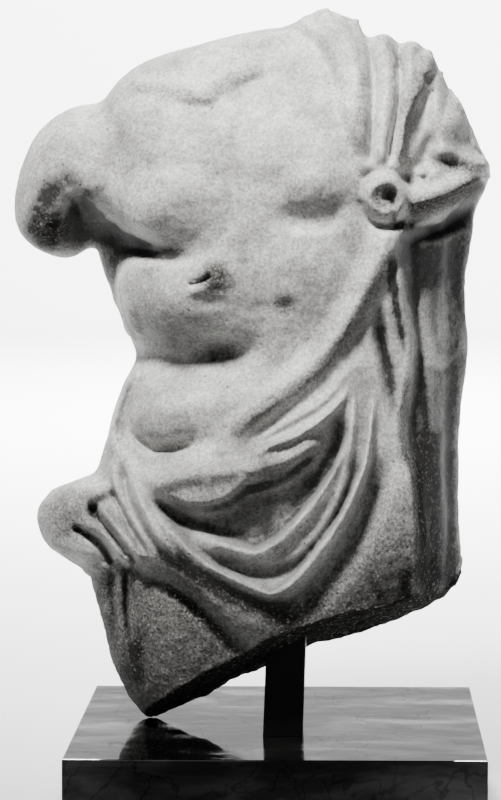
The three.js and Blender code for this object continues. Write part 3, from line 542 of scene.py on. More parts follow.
# Earth stains, dark patina, and painted shade in the creases, hollows and undersides and towards the lower
# right: 1 is fully covered
STAINS_AND_SHADE = (
    # Painted shade on the flank under the ribs
    Bump("flank lower", (-95, 383), (40, 27), 0.3),
    Plate("hip cloth", ((-133.5, 287), (-111, 271), (-87, 231), (-39, 183), (17, 157.5), (17, 127),
        (-31, 135), (-79, 175), (-127, 202.5), (-140, 231)), 0.2, 22),
    # Darker down the right side and towards the lower right: patina, and painted shade where the light falls
    # off
    Plate("side edge", ((146.5, 466.5), (193, 466.5), (193, 135), (113, 135), (137, 199), (141.5, 327)), 0.5,
        24),
    Plate("lower side", ((116, 295), (153, 295), (153, 159), (109.5, 159)), 0.6, 20),
    # Painted shade on the slopes under the swags
    Plate("swag slopes", ((-111, 255), (-63, 241), (-23, 271), (41, 311), (57, 375), (77, 407),
        (90.5, 437.5), (97, 311), (84, 247), (58.5, 199), (17, 151), (-39, 162.5), (-87, 194.5)), 0.42, 18),
    Bump("stump side", (-199, 506.5), (24, 48), 0.5, 10),
    # Painted shade on the lower half of the arm stump
    Plate("stump low", ((-143, 489), (-154.5, 511), (-167, 519), (-180, 509.5), (-194.5, 490.5),
        (-205.5, 469.5), (-196, 449), (-175, 434.5), (-151, 434.5), (-145.5, 458.5)), 0.72, 22),
    Bump("stump patch", (-170.5, 498.5), (35, 27), 0.24, -30),
    Bump("stump break", (-177, 466.5), (37, 32), 0.3, -40),
    Bump("shoulder specks", (-133.5, 527), (29, 48), 0.3, -8),
    # Painted shadow under the ledge of the collar
    Bump("collar", (-65, 567), (35, 9), 0.4, -6),
    Bump("collar right", (-21.5, 586.5), (24, 9.5), 0.45, 24),
    Bump("chest specks", (-106.5, 535), (45, 48), 0.22),
    Bump("left pec specks", (15, 527), (40, 48), 0.2),
    Bump("pec pits", (-1, 513), (13, 14.5), 0.5),
    Bump("pec pits low", (31, 497), (16, 11), 0.5),
    # Painted shade under the pecs and in the armpit
    Bump("left pec underside", (23, 484), (53, 21), 0.18, 6),
    Fold("right pec underside", ((-143, 471), (-122.5, 454.5), (-97, 445.5), (-69.5, 447), (-44, 457)), 1,
        (26, 20), (0, 0.5)),
    Plate("armpit", ((-153, 495), (-137, 469.5), (-111, 457), (-103, 447), (-116, 441.5), (-126.5, 433),
        (-129, 407), (-125, 386.5), (-116, 365.5), (-143, 365.5), (-162.5, 437.5)), 0.95, 9),
    Bump("chest wound", (-49, 425), (21, 22.5), 0.32),
    # Painted shade below the wound
    Bump("below the wound", (-66.5, 397.5), (40, 21), 0.3),
    Bump("rib scar", (7, 402.5), (17.5, 14.5), 0.15),
    Bump("rib specks", (-2.5, 444), (9.5, 7), 0.5),
    # Painted shade in the waist, on the belly and along the flank and hip
    Bump("waist", (-71, 375), (51, 35), 0.5, -6),
    Bump("waist middle", (-39, 367), (43, 27), 0.38, 8),
    Bump("belly middle", (-34.5, 335), (29, 40), 0.42, 14),
    Bump("belly upper", (-71, 343), (37, 17.5), 0.36),
    Bump("flank", (-117.5, 399), (17.5, 40), 0.4),
    Bump("hip", (-130.5, 303), (14.5, 45), 0.35, -10),
    Fold("belly low", ((-116, 316), (-113.5, 301.5), (-105.5, 293.5), (-93, 292), (-71, 297), (-53, 305.5)),
        0.3, (11, 11), (0.1, 0.4)),
    Bump("strap foot", (65.5, 538.5), (9.5, 21), 0.6),
    Bump("strap side", (57, 575), (14.5, 56), 0.2),
    Bump("arm cloth", (137, 551), (32, 49.5), 0.5, -20),
    # Painted shade in the arm's cavity and the hollow by the hook
    Fold("arm cavity", ((119, 521.5), (132, 521), (145, 516)), 0.25, (16, 14)),
    Bump("hook hollow", (103, 503), (11, 8), 0.5),
    Bump("knob", (84, 491), (22.5, 22.5), 0.28),
    # Painted shade in the knob's hole and round its foot
    Bump("knob hole", (88, 493), (8, 9), 0.25),
    Fold("knob foot", ((65, 495), (66.5, 481), (76, 469.5), (90.5, 465.5)), 0.2, (8, 8), (0.2, 0.2)),
    # Dark patina under the arm roll and on the hanging cloth, with painted shade under the roll
    Fold("arm underside", ((97, 466.5), (121, 466.5), (143, 477.5), (165.5, 495)), 0.45, (34, 34), (0, 0),
        0.4),
    Plate("side patina", ((95, 466.5), (129, 468), (177, 503), (177, 311), (146.5, 407), (138.5, 425),
        (121, 420), (111, 407), (103, 415)), 1, 14),
    Plate("side patch", ((116, 415), (122.5, 422.5), (141.5, 423), (148, 399), (146.5, 367), (133.5, 359),
        (121, 375)), 0.66, 12),
    Plate("side cloth", ((85.5, 447), (89, 407), (95, 375), (105, 349.5), (100, 295), (108, 271),
        (113.5, 215), (116, 135), (177, 103), (177, 354.5), (129, 354.5), (116, 367), (111, 407), (103, 415),
        (97, 455)), 0.8, 10),
    # Painted shade in the grooves, lees and hollows of the cloth
    Fold("side groove", ((81, 410.5), (81.5, 383), (86.5, 359), (92, 333.5), (97, 311)), 0.3, (17, 22),
        (0.1, 0.15)),
    Fold("hem lee", ((91, 455), (84, 431), (72, 404), (58.5, 377), (39, 349.5), (17, 329.5), (-7, 315),
        (-28, 300)), 0.04, (15, 12), (0, 0.1)),
    Plate("hollow", ((-103, 250.5), (-85.5, 241), (-65, 236), (-41, 241.5), (-21.5, 254.5), (6.5, 262.5),
        (34.5, 285.5), (49, 311), (51, 295), (45.5, 273), (31, 255), (17, 237), (-1, 220), (-17, 211),
        (-33, 213.5), (-59, 221.5), (-81, 231)), 0.22, 14),
    Fold("lump underside", ((-90.5, 247), (-65, 241), (-42.5, 245), (-25, 257), (4, 265.5), (31, 287)), 0.5,
        (12, 12)),
    Fold("swag 1 lee", ((58.5, 295), (54.5, 263), (41, 231), (21, 202.5), (-3, 193), (-31, 197)), 0.15,
        (20, 24)),
    Fold("front lee", ((84, 287), (79, 260), (69.5, 234.5), (56, 209), (37.5, 181.5), (17, 162.5)), 0.15,
        (30, 56)),
    # Earth on the tooled front mass, and painted shade where the light falls off towards the bottom
    Plate("front mass", ((121, 199), (81, 199), (41, 167), (9, 135), (17, 95), (137, 135)), 0.8, 36),
    Plate("thigh", ((-146.5, 194.5), (-103, 181.5), (-74.5, 165.5), (-57, 148), (-23, 116), (-23, 87),
        (-87, 39), (-175, 55)), 0.42, 20),
    # Painted shadow under the outer band
    Fold("band lee", ((-129, 194.5), (-103, 183), (-74.5, 165.5), (-57, 148), (-34.5, 124)), 0.35, (22, 24),
        (0.1, 0), 0.45),
    Bump("thigh left", (-117.5, 119), (21, 48), 0.45, -16),
    Bump("thigh spot", (-115, 127), (6.5, 11), 0.7),
    Bump("thigh spot 2", (-113, 108), (7, 9.5), 0.7),
    # Painted shade over the hand, in its hole and between the thumb and fingers
    Bump("hand shade", (-165.5, 231), (37, 32), 0.28),
    Bump("hand hole", (-148, 238.5), (8, 11), 0.8, 20),
    Fold("thumb gap", ((-167, 227), (-151, 217.5), (-140, 207), (-132, 193)), 0.4, (10, 9)),
    Fold("outer band", ((-103, 211), (-71, 183), (-31, 157.5), (17, 147)), 0.5, (44, 60)),
)


def curve_function(points: tuple, given: int, found: int) -> Callable[[np.ndarray], np.ndarray]:
    """Reads a smooth curve as a function of one coordinate.

    Args:
        points: The places that the curve passes.
        given: Which coordinate is known.
        found: Which one is looked up.

    Returns:
        A function from the one to the other.
    """
    samples = curve_points(points, EDGE_STEPS)
    samples = samples[np.argsort(samples[:, given], kind="stable")]
    return lambda value: np.interp(value, samples[:, given], samples[:, found])


@dataclass(frozen=True)
class Mass:
    """A rounded mass that is joined to the torso, in millimetres."""

    centre: tuple
    radii: tuple

    def field(self, x: np.ndarray, y: np.ndarray, z: np.ndarray) -> np.ndarray:
        """Gives the distance to the mass, about right near its surface."""
        q = np.sqrt(sum(((value - c) / r) ** 2 for value, c, r in zip((x, y, z), self.centre, self.radii)))
        return (q - 1) * min(self.radii)


SHOULDER = Mass((-146, 0, 510), (56, 50, 54))
UPPER_ARM = Mass((-174, -3, 483), (37, 35, 44))
PALM = Mass((-164, -11, 233), (30, 32, 28))
KNUCKLES = Mass((-140, -19, 228), (32, 32, 32))


class TorsoForm:
    """The carved marble as a field that is below zero inside the stone."""

    # The cross-section, between an oval and a rounded box
    section_power = 2.35
    # The worn top: its steepness against the outline's, its crest line and how it rounds off from there
    top_steepness = 0.93
    top_crest_y = 4.0
    top_round_off = 0.003
    # The broken end of the arm stump: a point of the break, and the way that it faces
    stump_break = (-174, 0, 442)
    stump_facing = (-0.4, -0.25, -0.88)
    # Rounding where the masses meet
    top_rounding = 11.0
    arm_rounding = 12.0
    stump_break_rounding = 6.0
    stump_foot_rounding = 6.0
    finger_rounding = 14.0
    hand_rounding = 10.0
    # The break under the hips: its lowest line and how it rises to both sides of it
    break_line_y = 8.0
    break_front_slope = 0.42
    break_back_slope = 0.35
    break_steepness = 0.9
    # How far back the carving of the front reaches at the sides, from none to full
    carved_until_y = (8.0, -36.0)
    # The slanting folds of the back: two waves, each of a swing and a length, that they wander by, and where
    # along the slant and how far back they begin, from none to full
    back_fold_pitch = 74.0
    back_fold_rise = 5.0
    back_fold_turn = math.radians(52)
    back_wander_up = (9.0, 70.0)
    back_wander_across = (6.0, 45.0)
    back_fold_start = (170.0, 260.0)
    back_fold_y = (8.0, 40.0)
    # The shallow flutes of the hanging cloth at the viewer's right, and where they begin, from none to full
    flute_pitch = 30.0
    flute_rise = 1.2
    flute_wander = (4.0, 60.0)
    flute_x = (112.0, 140.0)
    flute_z = (520.0, 420.0)
    # The search for the surface: distance of the slope's probes, its rounds, how close to an end it may
    # guess, and how far a place must face forwards to move along the line of sight, from wholly to not
    probe = 4.0
    rounds = 7
    guess_margin = 0.04
    sight_facing = (-0.95, 0.0)

    def __init__(self) -> None:
        """Prepares the outlines and the carving."""
        self.left = curve_function(LEFT_EDGE, 1, 0)
        self.right = curve_function(RIGHT_EDGE, 1, 0)
        self.top = curve_function(TOP_EDGE, 0, 1)
        self.front = curve_function(FRONT_DEPTH, 1, 0)
        self.back = curve_function(BACK_DEPTH, 1, 0)
        self.underside = curve_function(BREAK_LINE, 0, 1)
        self.carving = Relief((*PLATES, *BUMPS, *FOLDS))

    @staticmethod
    def seen(points: np.ndarray) -> tuple:
        """Gives where the lines of sight through some points meet the drawing plane: x and height."""
        scale = -EYE[1] / (points[:, 1] - EYE[1])
        return EYE[0] + (points[:, 0] - EYE[0]) * scale, EYE[2] + (points[:, 2] - EYE[2]) * scale

    def body(self, points: np.ndarray) -> np.ndarray:
        """Gives the field of the plain stone without its carving.

        Args:
            points: Places in millimetres, one row each.

        Returns:
            A value for each place, about its distance from the surface.
        """
        x, z = self.seen(points)
        y = points[:, 1]
        left, right = self.left(z), self.right(z)
        half = (right - left) / 2
        depth = np.where(y < 0, -self.front(z), self.back(z))
        q = (np.abs((x - (left + right) / 2) / half) ** self.section_power
             + np.abs(y / depth) ** self.section_power) ** (1 / self.section_power)
        wall = (q - 1) * np.minimum(half, depth)
        top = (z - self.top(x)) * self.top_steepness + self.top_round_off * (y - self.top_crest_y) ** 2
        torso = smooth_max(wall, top, self.top_rounding)
        stump = smooth_min(SHOULDER.field(x, y, z), UPPER_ARM.field(x, y, z), self.arm_rounding)
        cut = sum(f * (value - c) for f, value, c in zip(self.stump_facing, (x, y, z), self.stump_break))
        stump = smooth_max(stump, cut, self.stump_break_rounding)
        hand = smooth_min(PALM.field(x, y, z), KNUCKLES.field(x, y, z), self.finger_rounding)
        return smooth_min(smooth_min(torso, stump, self.stump_foot_rounding), hand, self.hand_rounding)

    def below(self, points: np.ndarray) -> np.ndarray:
        """Gives how far some places lie under the broken underside.

        Args:
            points: Places in millimetres, one row each.

        Returns:
            A value for each place, below zero over the break.
        """
        y = points[:, 1] - self.break_line_y
        rise = np.maximum(-self.break_front_slope * y, self.break_back_slope * y)
        return (self.underside(points[:, 0]) + rise - points[:, 2]) * self.break_steepness

    def value(self, points: np.ndarray) -> np.ndarray:
        """Gives the field of the carved stone.

        Args:
            points: Places in millimetres, one row each.

        Returns:
            A value for each place, below zero inside.
        """
        x, z = self.seen(points)
        y = points[:, 1]
        field = self.body(points) - self.carving.height(x, z) * smoothstep(*self.carved_until_y, y)
        across = points[:, 0] * math.sin(self.back_fold_turn) + points[:, 2] * math.cos(self.back_fold_turn)
        wander = sum(swing * np.sin(value / length) for value, (swing, length) in (
            (points[:, 2], self.back_wander_up), (points[:, 0], self.back_wander_across)))
        wave = np.cos(2 * math.pi * (across + wander) / self.back_fold_pitch) - 1
        shown = smoothstep(*self.back_fold_start, across) * smoothstep(*self.back_fold_y, y)
        field -= self.back_fold_rise * wave * shown
        swing, length = self.flute_wander
        flute = np.cos(2 * math.pi * (y + swing * np.sin(points[:, 2] / length)) / self.flute_pitch) - 1
        shown = smoothstep(*self.flute_x, x) * smoothstep(*self.flute_z, points[:, 2])
        field -= self.flute_rise * flute * shown
        return np.maximum(field, self.below(points))

    def outward(self, points: np.ndarray) -> np.ndarray:
        """Gives the direction out of the plain stone at some places.

        Args:
            points: Places in millimetres, one row each.

        Returns:
            One unit vector for each.
        """
        columns = []
        for step in np.eye(3) * self.probe:
            ahead = np.maximum(self.body(points + step), self.below(points + step))
            behind = np.maximum(self.body(points - step), self.below(points - step))
            columns.append(ahead - behind)
        direction = np.stack(columns, axis=1)
        return direction / np.linalg.norm(direction, axis=1, keepdims=True)

    def settle(self, points: np.ndarray, limit: float) -> np.ndarray:
        """Moves places in or out until they lie on the carved surface, on the front along the line of sight.

        Args:
            points: Places in millimetres near the surface, one row each.
            limit: How far a place may move.

        Returns:
            The places on the surface.
        """
        direction = self.outward(points)
        towards_eye = EYE - points
        towards_eye /= np.linalg.norm(towards_eye, axis=1, keepdims=True)
        share = smoothstep(*self.sight_facing, direction[:, 1])[:, None]
        direction = direction * share + towards_eye * (1 - share)
        direction /= np.linalg.norm(direction, axis=1, keepdims=True)
        low = np.full(len(points), -limit)
        high = np.full(len(points), limit)
        at_low = self.value(points + low[:, None] * direction)
        at_high = self.value(points + high[:, None] * direction)
        found = (at_low < 0) & (at_high > 0)
        for turn in range(self.rounds):
            guess = at_low / np.minimum(at_low - at_high, -TINY)
            share = np.clip(guess, self.guess_margin, 1 - self.guess_margin)
            if turn % 3 == 2:
                share = 0.5
            move = low + (high - low) * share
            here = self.value(points + move[:, None] * direction)
            inside = here < 0
            low, at_low = np.where(inside, move, low), np.where(inside, here, at_low)
            high, at_high = np.where(inside, high, move), np.where(inside, at_high, here)
        move = np.where(found, (low + high) / 2, 0)
        return points + move[:, None] * direction


class Adder:
    """Adds nodes to a new material's tree."""

    def __init__(self, name: str) -> None:
        """Makes the material with an empty tree.

        Args:
            name: The material's name.
        """
        self.material = bpy.data.materials.new(name)
        self.material.use_nodes = True
        self.tree = self.material.node_tree
        self.tree.nodes.clear()

    def add(self, kind: str, inputs: dict, stops: tuple = (), **settings) -> bpy.types.Node:
        """Adds a node with its settings and links.

        Args:
            kind: Blender's name of the node type, without the ShaderNode before it.
            inputs: Values, outputs, or nodes whose first output is meant, by the input's name or number.
            stops: A colour ramp's positions and colours, in order.
            settings: The node's own properties.

        Returns:
            The new node.
        """
        node = self.tree.nodes.new("ShaderNode" + kind)
        for name, value in settings.items():
            setattr(node, name, value)
        named = {s.name: s for s in node.inputs if s.enabled}
        for name, value in inputs.items():
            socket = node.inputs[name] if isinstance(name, int) else named[name]
            if isinstance(value, bpy.types.Node):
                value = next(s for s in value.outputs if s.enabled)
            if isinstance(value, bpy.types.NodeSocket):
                self.tree.links.new(value, socket)
            else:
                socket.default_value = value
        for _ in stops[2:]:
            node.color_ramp.elements.new(0.5)
        for i, (position, colour) in enumerate(stops):
            node.color_ramp.elements[i].position = position
            node.color_ramp.elements[i].color = linear(colour)
        return node


def linear(colour: str) -> tuple:
    """Turns an sRGB hex colour to linear values with full alpha."""
    values = [int(colour[i : i + 2], 16) / 255 for i in (1, 3, 5)]
    return (*[v / 12.92 if v <= 0.04045 else ((v + 0.055) / 1.055) ** 2.4 for v in values], 1.0)


@dataclass(frozen=True)
class WeatheredMarble:
    """Coarse-grained white marble, carved, then worn and stained by the ground and the weather.

    The eye gets a pale, slightly shining skin of crystals about 2 mm across, grey earth stains in the
    hollows together with painted shade in creases and undersides, painted glints on a few crystals, dark
    pits, and a rougher, darker and grainier surface where the stone was only tooled.
    """

    clean: str = "#DAD9D6"
    shaded: str = "#A9A8A5"
    soil_and_shade: str = "#2E2D2B"
    tooled: str = "#706F6C"
    mottling: str = "#8E8E8C"
    dark_grain: str = "#5E5E5E"
    grey_grain: str = "#C4C4C4"
    painted_glint: str = "#F2F1EE"
    pit: str = "#3B3A38"
    cloud_mm: float = 36.0
    mottle_mm: float = 7.0
    crystal_mm: float = 2.4
    glint_mm: float = 1.6
    pit_spacing_mm: float = 6.5
    roughness: tuple = (0.55, 0.92)
    gloss: tuple = (0.45, 0.05)

    def material(self) -> bpy.types.Material:
        """Builds the material.

        Returns:
            The new material.
        """
        made = Adder("weathered_marble_carved")
        add = made.add
        place = add("TexCoord", {}).outputs["Object"]
        soil_and_shade = add("Attribute", {}, attribute_name="soil_and_shade").outputs["Fac"]
        tooled = add("Attribute", {}, attribute_name="tooled").outputs["Fac"]
        # Clouded stone: soft patches, and a finer mottling over them
        clouds = add("TexNoise", {"Vector": place, "Scale": 1 / (self.cloud_mm * MM), "Detail": 7.0,
                                  "Roughness": 0.68})
        mottle = add("TexNoise", {"Vector": place, "Scale": 1 / (self.mottle_mm * MM), "Detail": 5.0,
                                  "Roughness": 0.78})
        # Crystals are drawn a little coarser than the stone's 2.2 mm, so that they show
        grain = add("TexNoise", {"Vector": place, "Scale": 1 / (self.crystal_mm * MM), "Detail": 2.0,
                                 "Roughness": 0.8})
        skin = add("ValToRGB", {"Fac": clouds}, ((0.36, self.shaded), (0.6, self.clean)))
        veil = add("ValToRGB", {"Fac": mottle}, ((0.36, self.mottling), (0.56, WHITE)))
        skin = add("Mix", {"Factor": 0.34, "A": skin, "B": veil}, data_type="RGBA", blend_type="MULTIPLY")
        stone = add("Mix", {"Factor": tooled, "A": skin, "B": linear(self.tooled)}, data_type="RGBA")
        # Earth and painted shade: the soil attribute holds both, broken up by the mottling so that it lies in
        # specks and blotches
        spread = add("Math", {0: mottle, 1: 1.5, 2: -0.75}, operation="MULTIPLY_ADD")
        patchy = add("Math", {0: soil_and_shade, 1: spread}, operation="ADD")
        dirt_and_shade = add("MapRange", {"Value": patchy, "From Min": 0.12, "From Max": 0.95})
        weight = add("Math", {0: dirt_and_shade, 1: soil_and_shade}, operation="MULTIPLY")
        amount = add("Math", {0: weight, 1: 1.25}, operation="MULTIPLY", use_clamp=True)
        soiled_and_shaded = add("Mix", {"Factor": amount, "A": stone, "B": linear(self.soil_and_shade)}, data_type="RGBA")
        # Crystals: fine light and dark grains, stronger on the tooled stone
        strength = add("Math", {0: tooled, 1: 0.3, 2: 0.6}, operation="MULTIPLY_ADD")
        grains = add("ValToRGB", {"Fac": grain}, ((0.32, self.dark_grain), (0.5, self.grey_grain),
                                                  (0.64, WHITE)))
        crystals = add("Mix", {"Factor": strength, "A": soiled_and_shaded, "B": grains}, data_type="RGBA",
                       blend_type="MULTIPLY")
        # Painted glints: a few crystals turned near white in the colour, where their faces would catch the
        # light, more of them on the tooled stone
        faces = add("TexVoronoi", {"Vector": place, "Scale": 1 / (self.glint_mm * MM)}).outputs["Color"]
        facing = add("MapRange", {"Value": faces, "From Min": 0.74, "From Max": 0.86})
        sparkle = add("Math", {0: tooled, 1: 0.1, 2: 0.04}, operation="MULTIPLY_ADD")
        lit = add("Math", {0: facing, 1: sparkle}, operation="MULTIPLY")
        painted_glints = add("Mix", {"Factor": lit, "A": crystals, "B": linear(self.painted_glint)}, data_type="RGBA")
        # Pits: dark specks about 2 mm wide, more of them where the soil attribute is high, in earth and in
        # painted shade
        cells = add("TexVoronoi", {"Vector": place, "Scale": 1 / (self.pit_spacing_mm * MM)})
        pit = add("MapRange", {"Value": cells, "From Min": 0.2, "From Max": 0.08})
        chosen = add("MapRange", {"Value": mottle, "From Min": 0.46, "From Max": 0.54})
        often = add("Math", {0: soil_and_shade, 1: 3.0, 2: 0.26}, operation="MULTIPLY_ADD", use_clamp=True)
        dots = add("Math", {0: pit, 1: chosen}, operation="MULTIPLY")
        pits = add("Math", {0: dots, 1: often}, operation="MULTIPLY")
        pitted = add("Math", {0: pits, 1: 0.9}, operation="MULTIPLY")
        colour = add("Mix", {"Factor": pitted, "A": painted_glints, "B": linear(self.pit)}, data_type="RGBA")
        height = add("Math", {0: grain, 1: mottle}, operation="ADD")
        sunk = add("Math", {0: pits, 1: -2.0, 2: height}, operation="MULTIPLY_ADD")
        # Broken and tooled stone shades itself, so it shines less than the worn skin
        matt = add("MapRange", {"Value": tooled, "To Min": self.roughness[0], "To Max": self.roughness[1]})
        gloss = add("MapRange", {"Value": tooled, "To Min": self.gloss[0], "To Max": self.gloss[1]})
        relief = add("Math", {0: tooled, 1: 0.9, 2: 0.35}, operation="MULTIPLY_ADD")
        bump = add("Bump", {"Height": sunk, "Distance": 0.7 * MM, "Strength": relief})
        shader = add("BsdfPrincipled", {"Base Color": colour, "Roughness": matt, "IOR": 1.49,
                                        "Specular IOR Level": gloss, "Normal": bump})
        add("OutputMaterial", {"Surface": shader})
        return made.material


@dataclass(frozen=True)
class BlackenedSteel:
    """Square mild steel bar, blackened and waxed: near black, with a soft, slightly streaky shine."""

    colour: str = "#161616"
    roughness: tuple = (0.28, 0.46)
    streak_mm: float = 2.0
    streak_stretch: float = 0.08

    def material(self) -> bpy.types.Material:
        """Builds the material.

        Returns:
            The new material.
        """
        made = Adder("blackened_steel_waxed")
        add = made.add
        place = add("TexCoord", {}).outputs["Object"]
        drawn = add("Mapping", {"Vector": place, "Scale": (1.0, 1.0, self.streak_stretch)})
        streaks = add("TexNoise", {"Vector": drawn, "Scale": 1 / (self.streak_mm * MM), "Detail": 4.0})
        shine = add("MapRange", {"Value": streaks, "To Min": self.roughness[0], "To Max": self.roughness[1]})
        bump = add("Bump", {"Height": streaks, "Distance": 0.05 * MM, "Strength": 0.4})
        shader = add("BsdfPrincipled", {"Base Color": linear(self.colour), "Metallic": 0.75,
                                        "Roughness": shine, "Normal": bump})
        add("OutputMaterial", {"Surface": shader})
        return made.material


@dataclass(frozen=True)
class PolishedStone:
    """Dark clouded limestone, sawn and polished: a near-black mirror with grey streaks and hair cracks."""

    dark: str = "#080808"
    cloud: str = "#171716"
    crack: str = "#050505"
    roughness: tuple = (0.05, 0.21)
    polish: tuple = (0.28, 0.72)
    streak_mm: float = 26.0
    streak_stretch: float = 0.28
    bend_mm: float = 30.0
    crack_spacing_mm: float = 75.0

    def material(self) -> bpy.types.Material:
        """Builds the material.

        Returns:
            The new material.
        """
        made = Adder("dark_limestone_polished")
        add = made.add
        place = add("TexCoord", {}).outputs["Object"]
        bed = add("Mapping", {"Vector": place, "Scale": (self.streak_stretch, 1.0, 1.0),
                              "Rotation": (0.0, 0.0, 0.06)})
        streaks = add("TexNoise", {"Vector": bed, "Scale": 1 / (self.streak_mm * MM), "Detail": 7.0,
                                   "Roughness": 0.62, "Distortion": 0.5})
        ground = add("ValToRGB", {"Fac": streaks}, ((0.42, self.dark), (0.68, self.cloud)))
        # Hair cracks: the edges of large bent cells, faint where the bending noise is low
        bend = add("TexNoise", {"Vector": place, "Scale": 1 / (self.bend_mm * MM), "Detail": 4.0})
        bent = add("Mix", {"Factor": 0.06, "A": place, "B": bend.outputs["Color"]}, data_type="VECTOR")
        cells = add("TexVoronoi", {"Vector": bent, "Scale": 1 / (self.crack_spacing_mm * MM)},
                    feature="DISTANCE_TO_EDGE")
        line = add("MapRange", {"Value": cells, "From Min": 0.02, "From Max": 0.0})
        crack = add("Math", {0: line, 1: bend}, operation="MULTIPLY")
        colour = add("Mix", {"Factor": crack, "A": ground, "B": linear(self.crack)}, data_type="RGBA")
        # The paler clouds blur what they mirror, and the darker streaks mirror less of it
        shine = add("MapRange", {"Value": streaks, "From Min": 0.48, "From Max": 0.66,
                                 "To Min": self.roughness[0], "To Max": self.roughness[1]})
        polish = add("MapRange", {"Value": streaks, "From Min": 0.42, "From Max": 0.6,
                                  "To Min": self.polish[0], "To Max": self.polish[1]})
        closed = add("Math", {0: 1.0, 1: crack}, operation="SUBTRACT")
        shown = add("Math", {0: polish, 1: closed}, operation="MULTIPLY")
        bump = add("Bump", {"Height": streaks, "Distance": 0.08 * MM, "Strength": 0.25})
        shader = add("BsdfPrincipled", {"Base Color": colour, "IOR": 1.56, "Roughness": shine,
                                        "Specular IOR Level": shown, "Normal": bump})
        add("OutputMaterial", {"Surface": shader})
        return made.material


@dataclass(frozen=True)
class StudioPaint:
    """Matt pale paint of a seamless studio floor that turns up into the wall."""

    colour: str = "#BEBEBE"
    roughness: float = 0.9

    def material(self) -> bpy.types.Material:
        """Builds the material.

        Returns:
            The new material.
        """
        made = Adder("studio_paint_matt")
        shader = made.add("BsdfPrincipled", {"Base Color": linear(self.colour), "Roughness": self.roughness})
        made.add("OutputMaterial", {"Surface": shader})
        return made.material


def placed(name: str, data: bpy.types.ID, matrix: Matrix) -> bpy.types.Object:
    """Puts a mesh, a lamp or a camera in the scene.

    Args:
        name: The object's name.
        data: What it shows.
        matrix: Where it stands and how it is turned.

    Returns:
        The new object.
    """
    thing = bpy.data.objects.new(name, data)
    thing.matrix_world = matrix
    bpy.context.scene.collection.objects.link(thing)
    return thing


def meshed(name: str, work: bmesh.types.BMesh) -> bpy.types.Mesh:
    """Turns a finished shape into a mesh and lets go of the shape.

    Args:
        name: The mesh's name.
        work: The shape, in metres.

    Returns:
        The new mesh.
    """
    mesh = bpy.data.meshes.new(name)
    work.to_mesh(mesh)
    work.free()
    return mesh


def dressed(name: str, mesh: bpy.types.Mesh, finish: bpy.types.Material, smooth: bool) -> bpy.types.Object:
    """Puts a finished mesh in the scene.

    Args:
        name: The piece's name.
        mesh: Its shape, in metres.
        finish: Its material.
        smooth: Whether its faces are shaded smooth.

    Returns:
        The new object.
    """
    mesh.materials.clear()
    mesh.materials.append(finish)
    mesh.polygons.foreach_set("use_smooth", [smooth] * len(mesh.polygons))
    return placed(name, mesh, Matrix())


def merged(node: str) -> bmesh.types.BMesh:
    """Gives a copy of a CAD solid whose faces share their corners.

    Args:
        node: The solid's name in the frame.

    Returns:
        The shape, in metres.
    """
    work = bmesh.new()
    work.from_mesh(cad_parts[node].data)
    bmesh.ops.remove_doubles(work, verts=work.verts, dist=WELD)
    return work


@dataclass(frozen=True)
class Unevenness:
    """A layer of wear on the marble.

    Attributes:
        size: Width of its largest swellings, in millimetres.
        layers: How many finer layers it is made of.
        seed: Which pattern.
        skin: Its height on the worn skin, in millimetres.
        tooled: How much higher it is where the stone was only tooled.
        broken: How much higher it is on the break.
    """

    size: float
    layers: int
    seed: int
    skin: float = 0.0
    tooled: float = 0.0
    broken: float = 0.0


@dataclass(frozen=True)
class HollowDarkening:
    """Darkening in the hollows of the marble, earth that gathers there and painted shade in its creases and
    recesses, and lightening where wear rubs it off the crests.

    Attributes:
        rounds: Rounds of evening that tell hollows from crests. More rounds show wider ones.
        strength: Darkening per millimetre of hollow.
        rubbed: The least that a crest gets, below zero.
        most: The most that a hollow gets.
    """

    rounds: int
    strength: float
    rubbed: float
    most: float


